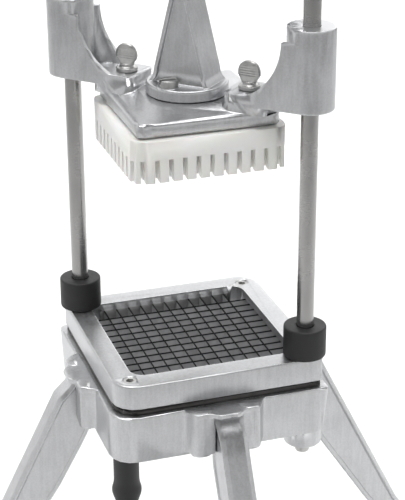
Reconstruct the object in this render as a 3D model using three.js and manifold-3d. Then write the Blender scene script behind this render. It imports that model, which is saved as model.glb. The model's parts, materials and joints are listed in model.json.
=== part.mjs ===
// French fry cutter: a lever presses a fingered pusher down two guide rods through a square blade grid.
// Millimetres, +Z up, origin on the ground under the centre of the base, +X along the front of the base.
import * as THREE from "three";
import { mergeVertices } from "three/addons/utils/BufferGeometryUtils.js";
import Module from "manifold-3d";

const wasm = await Module();
wasm.setup();

// Clearances and overruns
const seatGap = 0.3;
const runningGap = 0.3;
const screwGap = 0.3;
const cutOverrun = 2;
const faceSink = 1;

// Blade grid
const bladePitch = 9.525;
const bladeThickness = 0.8;
const bladeTopDrop = 6.3;
const bladeEndDepth = 2.6;
const bladeLayerStep = 0.5;

// Clamp ring
const ringInset = 3.4;
const ringRim = 15.8;
const openingCornerRadius = 10;
const ringHeight = 18.3;
const ringCornerRadius = 17;
const ringRodCornerRadius = 12;
const ringChamfer = 1.2;
const ringLip = 6;
const ringSkirt = 5.2;
const ringCornerBlock = 24;

// Blade frame
const frameInset = 0.9;
const frameThickness = 3.3;
const frameRail = 4;
const frameFlange = 0.6;

// Base body
const bodySide = 158;
const bodyHeight = 34.6;
const bodyCornerRadius = 17.5;
const bodyRodCornerRadius = 12.5;
const bodyChamfer = 1;
const bodyWall = 6;
const bodyRoof = 7.8;
const bodyOpeningGap = 1.4;
const rodBossDiameter = 27;
const rodBossDrop = 13;
const screwBossDiameter = 17;
const lobeWidth = 15.4;
const lobeDepth = 9.9;
const lobeCornerRadius = 6.5;
const lobeRise = 1.5;
const rimTabWidth = 16;
const rimTabThickness = 3;
const rimTabOverhang = 0.5;
const rimTabCornerRadius = 3;

// Legs, whose outline runs from the root's outer corner to the toe and back up to the root's heel
const legWidth = 20;
const legRootDepth = 13.7;
const legShoulder = 4.5;
const legReach = 118.7;
const legDrop = 154.2;
const legToeDepth = 20;
const legOuterShares = [[0.188, 0.067], [0.773, 0.806], [1, 1]];
const legInnerShares = [[0.534, 0.771], [0.194, 0.442], [0, 0.22]];
const legChannelWidth = 12.6;
const legChannelDepth = 6;
const legChannelHeadroom = 3;
const legChannelFoot = 14;
const legSpigotDiameter = 14;
const legSpigotLength = 24;

// Suction feet
const footHeight = 69;
const footSleeveDiameter = 23;
const footCupDiameter = 52;
const footOutlineShares = [
  [0, 0.057], [0.9, 0], [1, 0], [1, 0.019], [0.86, 0.104], [0.5, 0.179], [0.34, 0.25], [0.42, 0.335],
  [0.54, 0.47], [0.44, 0.584],
];

// Guide rods and bumpers
const rodDiameter = 12;
const rodInset = 10.9;
const rodSeat = 7;
const rodStudDiameter = 10;
const rodEndChamfer = 1;
const bumperDiameter = 30.2;
const bumperHeight = 22.6;
const bumperChamfer = 1.4;

// Screws
const smallScrewDiameter = 6;
const smallHeadDiameter = 10;
const smallHexHeight = 4;
const smallSocketDiameter = 5.6;
const smallSocketDepth = 3;
const ringScrewInset = 12.6;
const ringHeadDrop = 0.6;
const ringHeadHeight = 4;
const ringScrewGrip = 34;
const legScrewGrip = 9;
const legScrewShare = 0.45;
const rodScrewGrip = 26;
const rodScrewHeadHeight = 6;
const rodScrewWasherDiameter = 12;
const rodScrewWasherThickness = 1.3;

// Pusher block
const pusherInset = 6.8;
const pusherCornerRadius = 9;
const pusherBodyHeight = 13.4;
const fingerLength = 15.6;
const fingerGap = 3.2;
const fingerGapStep = 0.5;
const restLift = 138;

// Head casting
const headPlateInset = 3;
const headPlateHeight = 10.2;
const headPlateChamfer = 2;
const headCornerRadius = 12;
const headRise = 3.5;
const headRiseFloor = 0.5;
const headRisePad = 62;
const headRiseRun = 14;
const armRise = 5;
const armThickness = 7;
const armRootShare = 0.66;
const tongueReach = 34;
const tongueCornerRadius = 6;
const bossDiameter = 33;
const bossHeight = 56;
const bossLip = 4;
const webThickness = 4;
const webTopDrop = 9.5;
const webFoot = 25.5;
const webHeadReach = 14.5;
const bushDiameter = 18;
const bushInset = 1;

// Thumb screws
const thumbPlaceShare = 0.5137;
const thumbCollarDiameter = 15;
const thumbCollarHeight = 2.6;
const thumbNeckDiameter = 10;
const thumbNeckHeight = 6;
const thumbSpadeWidth = 14.5;
const thumbSpadeHeight = 15;
const thumbSpadeThickness = 4;
const thumbGrip = 31;
const insertDiameter = 9;
const insertLength = 10.5;
const insertFloor = 1;

// Tower
const towerDiscDiameter = 57;
const towerDiscHeight = 8.2;
const towerDepth = 25;
const towerFootWidth = 46;
const towerFlareWidth = 38.6;
const towerFlareHeight = 9;
const towerTopWidth = 14;
const towerTaperHeight = 58;
const towerPinHeight = 126.3;
const towerEyeDiameter = 26;
const panelRim = 3.6;
const panelDepth = 3;
const panelFoot = 7;
const panelHeight = 62;
const towerBoltDiameter = 8;
const towerBoltHeadDiameter = 13;
const towerBoltHeadHeight = 8;
const towerBoltHeadSink = 4;
const towerBoltSocketDiameter = 6.9;
const towerBoltSocketDepth = 4;
const towerBoltAside = 3.5;
const towerBoltOut = 20.1;
const towerBoltGrip = 17;

// Pivot pins
const pinDiameter = 10;
const pinHeadDiameter = 16;
const pinHeadHeight = 4;
const pinTail = 2;
const pinWasherDiameter = 24;
const pinWasherThickness = 2;
const clipDiameter = 15;
const clipThickness = 1.8;

// Top yoke
const yokeClearance = 28;
const yokeBossDiameter = 30;
const yokeBossHeight = 24;
const yokeDepth = 20;
const yokeBeam = 18;
const yokeArch = 12;
const yokeSpringShare = 0.3;
const yokeCrownShare = 0.66;
const armPlate = 14;
const armTopDepth = 24;
const armEndDepth = 21;
const armEyeDiameter = 28;
const armPocketRim = 5;
const armPocketDepth = 2.5;
const armPocketStartShare = 0.87;
const armPocketEndShare = 0.14;
const nutWidth = 17;
const nutHeight = 8;
const nutDomeDiameter = 15;
const nutDomeHeight = 7;
const nutDomeShares = [[1, 0], [0.76, 0.5], [0.4, 1]];
const nutWasherDiameter = 20;
const nutWasherThickness = 2;
const nutBoreHeight = 11;

// Lever
const fulcrumBehind = 135;
const fulcrumDrop = 75.75;
const leverPlateGap = 0.5;
const leverPlateThickness = 5;
const leverEyeDiameter = 28;
const leverSlotMiss = 2.9;
const leverSlotRun = 26;
const leverWaist = 31;
const leverNose = 23;
const leverNoseOverhang = 2;
const tangClearance = 29;
const tangLength = 54;
const tangWidth = 15;
const handleDiameter = 15;
const handleReach = 455;
const leverBoltDiameter = 8;
const leverBoltHeadWidth = 13;
const leverBoltHeadHeight = 5.3;
const leverNutHeight = 6.5;
const leverBoltTail = 1.5;
const leverBoltEdge = 12;
const leverBoltSpacing = 27;
const gripDiameter = 29;
const gripLength = 122;
const gripWall = 3.4;
const gripGrooveDepth = 1.2;
const gripRound = 4;
const gripGrooveCount = 4;
const gripGrooveShare = 0.42;

// Widths and places that follow from the sizes above
const ringSide = bodySide - 2 * ringInset;
const openingSide = ringSide - 2 * ringRim;
const bladeCount = Math.floor(openingSide / bladePitch) - 1;
const rodOffset = ringSide / 2 - rodInset;
const ringScrewOffset = ringSide / 2 - ringScrewInset;
const pusherSide = openingSide - 2 * pusherInset;
const headPlateSide = pusherSide - 2 * headPlateInset;

// Heights and places that follow from the sizes above
const bodyBottom = footHeight + legDrop;
const bodyTop = bodyBottom + bodyHeight;
const legRoot = bodySide / 2 + seatGap;
const legTop = bodyTop - rimTabThickness - seatGap;
const legFall = legTop - footHeight;
const legScrewHeight = bodyBottom + legScrewShare * bodyHeight;
const footOffset = legRoot + legReach - legToeDepth / 2;
const frameBottom = bodyTop + seatGap;
const frameTop = frameBottom + frameThickness;
const ringBottom = frameTop + seatGap;
const ringTop = ringBottom + ringHeight;
const bladeTop = ringTop - bladeTopDrop;
const rodReach = rodOffset * Math.SQRT2;
const thumbOffset = thumbPlaceShare * rodReach;
const rodBossBottom = bodyBottom - rodBossDrop;
const rodBottom = rodBossBottom + rodSeat;
const ringHeadSeat = ringTop - ringHeadDrop - ringHeadHeight;
const ringScrewEnd = ringHeadSeat - ringScrewGrip;
const fingerTip = ringTop + restLift;
const pusherTop = fingerTip + fingerLength + pusherBodyHeight;
const headBottom = pusherTop + seatGap;
const headRim = headBottom + headPlateHeight;
const headTop = headRim + headRise;
const armBottom = headRim + armRise;
const tongueTop = armBottom + armThickness;
const bossTop = armBottom + bossHeight;
const discTop = headTop + seatGap + towerDiscHeight;
const pinHeight = discTop + towerPinHeight;
const fulcrumHeight = pinHeight - fulcrumDrop;
const yokeBottom = pinHeight + yokeClearance;
const yokeTop = yokeBottom + yokeBossHeight;
const plateInner = armPlate / 2 + leverPlateGap;
const plateOuter = plateInner + leverPlateThickness;
const washerInner = plateOuter + seatGap;
const washerOuter = washerInner + pinWasherThickness;
const clipInner = washerOuter + seatGap;
const clipOuter = clipInner + clipThickness;
const studTop = yokeTop + seatGap + nutWasherThickness + nutHeight;
const slotWidth = pinDiameter + 2 * leverSlotMiss;
const slotEnd = fulcrumBehind + leverSlotRun;
const tangStart = slotEnd + tangClearance;
const tangEnd = tangStart + tangLength;
const leverPlateReach = tangEnd + leverNoseOverhang;
const firstBolt = tangStart + leverBoltEdge;
const restAngle = Math.atan2(fulcrumDrop, fulcrumBehind);
const crossTurn = -Math.PI / 4;
const frameOpening = openingSide / 2 + frameFlange;
const bladeBottom = frameTop + seatGap;
const bladeReach = frameOpening + bladeEndDepth;
const insertHoleDiameter = insertDiameter + 2 * seatGap;
const roundSides = 18;
const smallSides = 12;
const cupSides = 16;
const cornerSteps = 2;
const smallCornerSteps = 1;

// Finishes
function finish(color, roughness, metalness) {
  return new THREE.MeshStandardMaterial({ color, roughness, metalness });
}

const castAluminium = finish(0xb4b6ba, 0.42, 0.9);
const polishedSteel = finish(0xa8aaac, 0.2, 1);
const zincSteel = finish(0xc4c6c8, 0.3, 1);
const bladeSteel = finish(0x5b5d60, 0.35, 1);
const blackRubber = finish(0x1c1c1d, 0.75, 0);
const whiteNylon = finish(0xebecea, 0.5, 0);
const bronze = finish(0xa98c5a, 0.4, 0.9);

// Joining and cutting of closed geometries
function toSolid(geometry) {
  const bare = geometry.clone();
  bare.deleteAttribute("normal");
  bare.deleteAttribute("uv");
  const merged = mergeVertices(bare, 1e-4);
  const vertProperties = new Float32Array(merged.attributes.position.array);
  const triVerts = new Uint32Array(merged.index.array);
  return new wasm.Manifold(new wasm.Mesh({ numProp: 3, vertProperties, triVerts }));
}

function toGeometry(solid) {
  const mesh = solid.getMesh();
  const geometry = new THREE.BufferGeometry();
  geometry.setAttribute("position", new THREE.BufferAttribute(mesh.vertProperties, 3));
  geometry.setIndex(new THREE.BufferAttribute(mesh.triVerts, 1));
  geometry.computeVertexNormals();
  return geometry;
}

function join(first, ...others) {
  return toGeometry(others.reduce((whole, other) => whole.add(toSolid(other)), toSolid(first)));
}

function carve(first, ...tools) {
  return toGeometry(tools.reduce((whole, tool) => whole.subtract(toSolid(tool)), toSolid(first)));
}

// Plan outlines
function roundedRectangle(halfX, halfY, radius, rodCornerRadius = radius) {
  const shape = new THREE.Shape();
  const other = rodCornerRadius;
  shape.absarc(halfX - radius, halfY - radius, radius, 0, Math.PI / 2);
  shape.absarc(other - halfX, halfY - other, other, Math.PI / 2, Math.PI);
  shape.absarc(radius - halfX, radius - halfY, radius, Math.PI, 1.5 * Math.PI);
  shape.absarc(halfX - other, other - halfY, other, 1.5 * Math.PI, 2 * Math.PI);
  return shape;
}

// A tab that stands out along +X from x = 0, with its two outer corners round
function tabOutline(depth, halfWidth, radius) {
  const shape = new THREE.Shape();
  shape.moveTo(-faceSink, -halfWidth);
  shape.lineTo(depth - radius, -halfWidth);
  shape.absarc(depth - radius, radius - halfWidth, radius, -Math.PI / 2, 0);
  shape.absarc(depth - radius, halfWidth - radius, radius, 0, Math.PI / 2);
  shape.lineTo(-faceSink, halfWidth);
  return shape;
}

function rectangle(halfX, halfY) {
  return polygon([[-halfX, -halfY], [halfX, -halfY], [halfX, halfY], [-halfX, halfY]]);
}

function polygon(points) {
  return new THREE.Shape(points.map(([x, y]) => new THREE.Vector2(x, y)));
}

// An outline raised from z = bottom to z = top, with an optional chamfer on both rims
function prism(shape, bottom, top, chamfer = 0, curveSegments = cornerSteps) {
  const geometry = new THREE.ExtrudeGeometry(shape, {
    depth: top - bottom - 2 * chamfer,
    bevelEnabled: chamfer > 0,
    bevelThickness: chamfer,
    bevelSize: chamfer,
    bevelOffset: -chamfer,
    bevelSegments: 1,
    curveSegments,
  });
  return geometry.translate(0, 0, bottom + chamfer);
}

// An outline in the X and Z directions, raised along Y about y = 0
function uprightAlongY(shape, depth, curveSegments = cornerSteps) {
  const geometry = new THREE.ExtrudeGeometry(shape, { depth, bevelEnabled: false, curveSegments });
  return geometry.translate(0, 0, -depth / 2).rotateX(Math.PI / 2);
}

// An outline in the Y and Z directions, raised along X about x = 0
function uprightAlongX(shape, depth, curveSegments = cornerSteps) {
  return uprightAlongY(shape, depth, curveSegments).rotateZ(Math.PI / 2);
}

// A round piece about Z from its profile of radius and height pairs
function turned(profile, sides = roundSides) {
  const points = profile.map(([radius, height]) => new THREE.Vector2(radius, height));
  return new THREE.LatheGeometry(points, sides).rotateX(Math.PI / 2);
}

function cylinder(diameter, bottom, top, sides = roundSides) {
  return turned([[0, bottom], [diameter / 2, bottom], [diameter / 2, top], [0, top]], sides);
}

function tube(outer, inner, bottom, top, sides = roundSides) {
  const corners = [[inner, bottom], [outer, bottom], [outer, top], [inner, top], [inner, bottom]];
  return turned(corners.map(([diameter, height]) => [diameter / 2, height]), sides);
}

// Clearance hole of the small screws
function screwHole(bottom, top) {
  return cylinder(smallScrewDiameter + 2 * screwGap, bottom, top, smallSides);
}

// The same pieces about the X axis
function acrossX(geometry) {
  return geometry.rotateY(Math.PI / 2);
}

// A socket-head screw with its head standing on z = 0 and its shank below
function socketScrew(diameter, headDiameter, headHeight, socketDiameter, socketDepth, grip) {
  const head = cylinder(headDiameter, 0, headHeight, smallSides);
  const shank = cylinder(diameter, -grip, faceSink, smallSides);
  const socket = cylinder(socketDiameter, headHeight - socketDepth, headHeight + cutOverrun, 6);
  return carve(join(head, shank), socket);
}

// A hexagon-head screw with its head standing on z = 0 and its shank below
function hexScrew(diameter, headWidth, headHeight, grip) {
  const head = cylinder(headWidth / Math.cos(Math.PI / 6), 0, headHeight, 6);
  return join(head, cylinder(diameter, -grip, faceSink, smallSides));
}

function piece(name, geometry, material) {
  const mesh = new THREE.Mesh(geometry, material);
  mesh.name = name;
  return mesh;
}

// Corners of the base: rods stand on one diagonal, ring screws on the other
const rodCorners = [[-1, 1], [1, -1]];
const screwCorners = [[-1, -1], [1, 1]];
const sides = [["front", -Math.PI / 2], ["right", 0], ["back", Math.PI / 2], ["left", Math.PI]];
const ends = [["left", -1], ["right", 1]];

function atCorners(corners, offset, make) {
  return corners.map(([x, y]) => make().translate(x * offset, y * offset, 0));
}

// Base body: an open cast box with leg pads on its sides, and bosses under the rods and the ring screws
function bodyShell() {
  const half = bodySide / 2;
  const inner = half - bodyWall;
  const outline = roundedRectangle(half, half, bodyCornerRadius, bodyRodCornerRadius);
  const innerRadius = bodyCornerRadius - bodyWall;
  const hollow = roundedRectangle(inner, inner, innerRadius, bodyRodCornerRadius - bodyWall);
  const below = new THREE.BoxGeometry(2 * bodySide, 2 * bodySide, 2 * bodyChamfer);
  return carve(
    prism(outline, bodyBottom - bodyChamfer, bodyTop, bodyChamfer),
    below.translate(0, 0, bodyBottom - bodyChamfer),
    prism(hollow, bodyBottom - cutOverrun, bodyTop - bodyRoof),
  );
}

function legPads() {
  const half = bodySide / 2;
  const lobeCentre = (legWidth + lobeWidth) / 2 + seatGap;
  const lobe = tabOutline(lobeDepth, lobeWidth / 2, lobeCornerRadius);
  const tabDepth = seatGap + legRootDepth + rimTabOverhang;
  const tab = tabOutline(tabDepth, rimTabWidth / 2, rimTabCornerRadius);
  return sides.flatMap(([, turn]) => [
    prism(lobe, bodyBottom + lobeRise, bodyTop).translate(half, lobeCentre, 0).rotateZ(turn),
    prism(lobe, bodyBottom + lobeRise, bodyTop).translate(half, -lobeCentre, 0).rotateZ(turn),
    prism(tab, bodyTop - rimTabThickness, bodyTop).translate(half, 0, 0).rotateZ(turn),
  ]);
}

function bodyBosses() {
  const inside = bodyTop - bodyRoof + faceSink;
  const radius = rodBossDiameter / 2;
  const profile = [
    [0, rodBossBottom],
    [radius - bodyChamfer, rodBossBottom],
    [radius, rodBossBottom + bodyChamfer],
    [radius, inside],
    [0, inside],
  ];
  return [
    ...atCorners(rodCorners, rodOffset, () => turned(profile)),
    ...atCorners(screwCorners, ringScrewOffset, () =>
      cylinder(screwBossDiameter, bodyBottom, inside, smallSides),
    ),
  ];
}

function bodyCuts() {
  const opening = openingSide / 2 + bodyOpeningGap;
  const below = rodBossBottom - cutOverrun;
  const above = bodyTop + cutOverrun;
  const outside = bodySide / 2 + cutOverrun;
  const legHole = () => acrossX(screwHole(outside - bodyWall - 2 * cutOverrun, outside));
  return [
    prism(roundedRectangle(opening, opening, openingCornerRadius), below, above),
    ...atCorners(rodCorners, rodOffset, () => cylinder(rodDiameter + 2 * seatGap, rodBottom, above)),
    ...atCorners(rodCorners, rodOffset, () => screwHole(below, rodBottom + faceSink)),
    ...atCorners(screwCorners, ringScrewOffset, () => screwHole(ringScrewEnd - cutOverrun, above)),
    ...sides.map(([, turn]) => legHole().translate(0, 0, legScrewHeight).rotateZ(turn)),
  ];
}

function bodyGeometry() {
  return carve(join(bodyShell(), ...legPads(), ...bodyBosses()), ...bodyCuts());
}

// Clamp ring: a lip over the blades, a skirt round them, and solid corners for the rods and screws
function ringGeometry() {
  const half = ringSide / 2;
  const inner = half - ringSkirt;
  const corner = half - ringCornerBlock;
  const roof = ringTop - ringLip;
  const opening = openingSide / 2;
  const low = ringBottom - cutOverrun;
  const outline = roundedRectangle(half, half, ringCornerRadius, ringRodCornerRadius);
  return carve(
    prism(outline, ringBottom, ringTop, ringChamfer),
    prism(roundedRectangle(opening, opening, openingCornerRadius), low, ringTop + cutOverrun),
    prism(rectangle(inner, corner), low, roof),
    prism(rectangle(corner, inner), low, roof),
    ...atCorners(rodCorners, rodOffset, () => cylinder(rodDiameter + 2 * seatGap, low, ringTop + cutOverrun)),
    ...atCorners(screwCorners, ringScrewOffset, () => screwHole(low, ringTop)),
    ...atCorners(screwCorners, ringScrewOffset, () =>
      cylinder(smallHeadDiameter + 2 * screwGap, ringHeadSeat - seatGap, ringTop + cutOverrun, smallSides),
    ),
  );
}

// Blade frame: a flat plate that the blades lie on, with a rail along each side that keeps them in
function bladePlaces() {
  return Array.from({ length: bladeCount }, (unused, index) => (index - (bladeCount - 1) / 2) * bladePitch);
}

function frameGeometry() {
  const half = ringSide / 2 - frameInset;
  const railLength = ringSide / 2 - ringCornerBlock - seatGap;
  const low = frameBottom - cutOverrun;
  const railPlace = bladeReach + seatGap + frameRail / 2;
  const rails = sides.map(([, turn]) =>
    prism(rectangle(frameRail / 2, railLength), frameTop - faceSink, bladeTop)
      .translate(railPlace, 0, 0)
      .rotateZ(turn),
  );
  const corner = ringCornerRadius - frameInset;
  const outline = roundedRectangle(half, half, corner, ringRodCornerRadius - frameInset);
  const plate = carve(
    prism(outline, frameBottom, frameTop),
    prism(roundedRectangle(frameOpening, frameOpening, openingCornerRadius), low, frameTop + cutOverrun),
  );
  const high = frameTop + cutOverrun;
  return carve(
    join(plate, ...rails),
    ...atCorners(rodCorners, rodOffset, () => cylinder(rodDiameter + 2 * seatGap, low, high)),
    ...atCorners(screwCorners, ringScrewOffset, () => screwHole(low, high)),
  );
}

function gridGeometry() {
  const length = 2 * bladeReach;
  const height = bladeTop - bladeBottom - bladeLayerStep;
  const upper = bladeTop - height / 2;
  const strips = bladePlaces().flatMap((place) => [
    new THREE.BoxGeometry(bladeThickness, length, height).translate(place, 0, upper),
    new THREE.BoxGeometry(length, bladeThickness, height).translate(0, place, upper - bladeLayerStep),
  ]);
  return join(...strips);
}

// Leg: a splayed arm with a channel down its outer face and a round spigot for its foot
function legGeometry() {
  const place = ([across, down]) => [legRoot + across * legReach, legTop - down * legFall];
  const [knee, shin, toe] = legOuterShares.map(place);
  const heel = legInnerShares.map(place);
  const face = legRoot + legRootDepth;
  const outline = polygon([
    [legRoot, legTop],
    ...heel.toReversed(),
    [toe[0] - legToeDepth, toe[1]],
    toe,
    shin,
    knee,
    [face, legTop - legShoulder],
    [face - legShoulder, legTop],
  ]);
  const channelEnd = toe[1] + legChannelFoot;
  const endShare = legChannelFoot / (shin[1] - toe[1]);
  const beyond = toe[0] + cutOverrun;
  const channel = polygon([
    [face - legChannelDepth, legTop - legChannelHeadroom],
    [knee[0] - legChannelDepth, knee[1]],
    [shin[0] - legChannelDepth, shin[1]],
    [toe[0] + (shin[0] - toe[0]) * endShare - legChannelDepth, channelEnd],
    [beyond, channelEnd],
    [beyond, legTop - legChannelHeadroom],
  ]);
  const spigot = cylinder(legSpigotDiameter, footHeight - legSpigotLength, footHeight + faceSink, smallSides);
  return carve(
    join(uprightAlongY(outline, legWidth), spigot.translate(footOffset, 0, 0)),
    uprightAlongY(channel, legChannelWidth),
    acrossX(screwHole(legRoot - cutOverrun, legRoot + legScrewGrip)).translate(0, 0, legScrewHeight),
  );
}

// Foot: a rubber sleeve on the leg's spigot, a bulge, a neck and a suction cup
function footGeometry() {
  const top = footHeight - seatGap;
  const bore = legSpigotDiameter / 2 + seatGap;
  const boreEnd = footHeight - legSpigotLength - seatGap;
  const outline = footOutlineShares.map(([across, up]) => [(across * footCupDiameter) / 2, up * footHeight]);
  const sleeve = [[footSleeveDiameter / 2, top], [bore, top], [bore, boreEnd], [0, boreEnd]];
  return turned([...outline, ...sleeve], cupSides);
}

// Guide rod: tapped at its foot, with a stud on top for the yoke's nut
function rodGeometry() {
  const radius = rodDiameter / 2;
  const stud = rodStudDiameter / 2;
  const tap = smallScrewDiameter / 2 + screwGap;
  const low = rodBottom + seatGap;
  const shoulder = yokeBottom - seatGap;
  return turned([
    [0, low + rodScrewGrip],
    [tap, low + rodScrewGrip],
    [tap, low],
    [radius, low],
    [radius, shoulder],
    [stud, shoulder],
    [stud, studTop - rodEndChamfer],
    [stud - rodEndChamfer, studTop],
    [0, studTop],
  ]);
}

function bumperGeometry() {
  const outer = bumperDiameter / 2;
  const bore = rodDiameter / 2 + seatGap;
  const low = ringTop + seatGap;
  const high = low + bumperHeight;
  return turned([
    [bore, low],
    [outer - bumperChamfer, low],
    [outer, low + bumperChamfer],
    [outer, high - bumperChamfer],
    [outer - bumperChamfer, high],
    [bore, high],
    [bore, low],
  ]);
}

// Pusher block: a square nylon block cut into fingers that pass between the blades
function pusherGeometry() {
  const half = pusherSide / 2;
  const reach = pusherSide + 2 * cutOverrun;
  const depth = fingerLength + cutOverrun;
  const middle = fingerTip + fingerLength - depth / 2;
  const gaps = bladePlaces().flatMap((place) => [
    new THREE.BoxGeometry(fingerGap, reach, depth).translate(place, 0, middle),
    new THREE.BoxGeometry(reach, fingerGap, depth).translate(0, place, middle - fingerGapStep),
  ]);
  const floor = pusherTop - seatGap - insertLength - insertFloor;
  return carve(
    prism(roundedRectangle(half, half, pusherCornerRadius), fingerTip, pusherTop),
    ...gaps,
    ...atCorners(rodCorners, thumbOffset / Math.SQRT2, () =>
      cylinder(insertHoleDiameter, floor, pusherTop + cutOverrun, smallSides),
    ),
  );
}

// Head casting: a square plate hung between two guide bosses by arms with twin curved webs
function webGeometry() {
  const inner = rodReach - webHeadReach;
  const top = bossTop - webTopDrop;
  const toe = inner - webFoot;
  const drop = top - tongueTop;
  const radius = (webFoot * webFoot + drop * drop) / (2 * webFoot);
  const shape = new THREE.Shape();
  shape.moveTo(toe, armBottom);
  shape.lineTo(rodReach, armBottom);
  shape.lineTo(rodReach, top);
  shape.lineTo(inner, top);
  shape.absarc(inner - radius, top, radius, 0, -Math.asin(drop / radius), true);
  return uprightAlongY(shape, webThickness);
}

function armPieces() {
  const half = bossDiameter / 2;
  const root = armRootShare * rodReach;
  const tongueLength = root - tongueReach + tongueCornerRadius;
  const tongue = roundedRectangle(tongueLength / 2, half, tongueCornerRadius);
  const webPlace = half - webThickness / 2;
  const neck = prism(rectangle((rodReach - root) / 2, half), armBottom, tongueTop);
  return [
    cylinder(bossDiameter, armBottom, bossTop).translate(rodReach, 0, 0),
    prism(tongue, headRim - faceSink, tongueTop).translate(tongueReach + tongueLength / 2, 0, 0),
    neck.translate((rodReach + root) / 2, 0, 0),
    webGeometry().translate(0, webPlace, 0),
    webGeometry().translate(0, -webPlace, 0),
  ];
}

function armCuts() {
  const bushTop = bossTop - bossLip;
  const boltHole = towerBoltDiameter + 2 * screwGap;
  const rodHole = cylinder(rodDiameter + 2 * runningGap, bushTop - faceSink, bossTop + cutOverrun);
  return [
    cylinder(bushDiameter + 2 * seatGap, armBottom - cutOverrun, bushTop).translate(rodReach, 0, 0),
    rodHole.translate(rodReach, 0, 0),
    screwHole(headBottom - cutOverrun, tongueTop + cutOverrun).translate(thumbOffset, 0, 0),
    cylinder(boltHole, headTop - towerBoltGrip, headTop + cutOverrun, smallSides)
      .translate(towerBoltAside, towerBoltOut, 0),
  ];
}

function headGeometry() {
  const half = headPlateSide / 2;
  const pad = headRisePad / 2;
  const plate = prism(roundedRectangle(half, half, headCornerRadius), headBottom, headRim, headPlateChamfer);
  const rise = new THREE.ExtrudeGeometry(roundedRectangle(pad, pad, headCornerRadius), {
    depth: headRiseFloor,
    bevelThickness: headRise,
    bevelSize: headRiseRun,
    bevelSegments: 1,
    curveSegments: cornerSteps,
  }).translate(0, 0, headRim - headRiseFloor);
  const centre = [plate.rotateZ(-crossTurn), rise.rotateZ(-crossTurn)];
  const arms = [0, Math.PI].flatMap((turn) => armPieces().map((solid) => solid.rotateZ(turn)));
  const cuts = [0, Math.PI].flatMap((turn) => armCuts().map((cut) => cut.rotateZ(turn)));
  return carve(join(...centre, ...arms), ...cuts);
}

function bushGeometry() {
  const top = bossTop - bossLip - seatGap;
  return tube(bushDiameter, rodDiameter + 2 * runningGap, armBottom + bushInset, top);
}

// Thumb screw: a flat spade on a collar, screwed into a threaded insert in the pusher block
function thumbGeometry() {
  const seat = tongueTop + seatGap;
  const collarTop = seat + thumbCollarHeight;
  const neckTop = collarTop + thumbNeckHeight;
  const neck = thumbNeckDiameter / 2;
  const shank = smallScrewDiameter / 2;
  const stem = turned(
    [
      [0, seat - thumbGrip],
      [shank, seat - thumbGrip],
      [shank, seat],
      [thumbCollarDiameter / 2, seat],
      [thumbCollarDiameter / 2, collarTop],
      [neck, collarTop],
      [neck, neckTop],
      [0, neckTop],
    ],
    smallSides,
  );
  const half = thumbSpadeWidth / 2;
  const spade = roundedRectangle(half, thumbSpadeHeight / 2, half - faceSink);
  const middle = neckTop - faceSink + thumbSpadeHeight / 2;
  return join(stem, uprightAlongY(spade, thumbSpadeThickness).translate(0, 0, middle));
}

function insertGeometry() {
  const top = pusherTop - seatGap;
  return tube(insertDiameter, smallScrewDiameter + 2 * screwGap, top - insertLength, top, smallSides);
}

// Tower: a round foot, a tapered body with a recessed panel on both faces, and an eye for the lever's pin
function taperHalf(height) {
  const share = Math.min(1, (height - towerFlareHeight) / (towerTaperHeight - towerFlareHeight));
  return (towerFlareWidth + (towerTopWidth - towerFlareWidth) * share) / 2;
}

function towerGeometry() {
  const low = discTop - towerDiscHeight;
  const base = discTop - faceSink;
  const body = new THREE.Shape();
  body.moveTo(-towerFootWidth / 2, base);
  body.lineTo(towerFootWidth / 2, base);
  body.quadraticCurveTo(towerFlareWidth / 2, discTop, towerFlareWidth / 2, discTop + towerFlareHeight);
  body.lineTo(towerTopWidth / 2, discTop + towerTaperHeight);
  body.lineTo(towerTopWidth / 2, pinHeight);
  body.lineTo(-towerTopWidth / 2, pinHeight);
  body.lineTo(-towerTopWidth / 2, discTop + towerTaperHeight);
  body.lineTo(-towerFlareWidth / 2, discTop + towerFlareHeight);
  body.quadraticCurveTo(-towerFlareWidth / 2, discTop, -towerFootWidth / 2, base);
  const panelLow = taperHalf(towerFlareHeight + panelFoot) - panelRim;
  const panelHigh = taperHalf(towerTaperHeight) - panelRim;
  const foot = discTop + panelFoot;
  const head = discTop + towerTaperHeight;
  const panel = polygon([
    [-panelLow, foot],
    [panelLow, foot],
    [panelHigh, head],
    [panelHigh, foot + panelHeight],
    [-panelHigh, foot + panelHeight],
    [-panelHigh, head],
  ]);
  const panels = [-1, 1].map((side) =>
    uprightAlongY(panel, 2 * panelDepth).translate(0, (side * towerDepth) / 2, 0),
  );
  const eye = acrossX(cylinder(towerEyeDiameter, -towerTopWidth / 2, towerTopWidth / 2));
  const bore = acrossX(cylinder(pinDiameter + 2 * seatGap, -towerTopWidth, towerTopWidth));
  const seat = discTop - towerBoltHeadSink - seatGap;
  const above = discTop + cutOverrun;
  const bolts = [-1, 1].flatMap((side) => [
    cylinder(towerBoltDiameter + 2 * screwGap, low - cutOverrun, above, smallSides)
      .translate(side * towerBoltAside, side * towerBoltOut, 0),
    cylinder(towerBoltHeadDiameter + 2 * screwGap, seat, above, smallSides)
      .translate(side * towerBoltAside, side * towerBoltOut, 0),
  ]);
  return carve(
    join(
      cylinder(towerDiscDiameter, low, discTop, 2 * smallSides),
      uprightAlongY(body, towerDepth),
      eye.translate(0, 0, pinHeight),
    ),
    ...panels,
    bore.translate(0, 0, pinHeight),
    ...bolts,
  );
}

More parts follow.
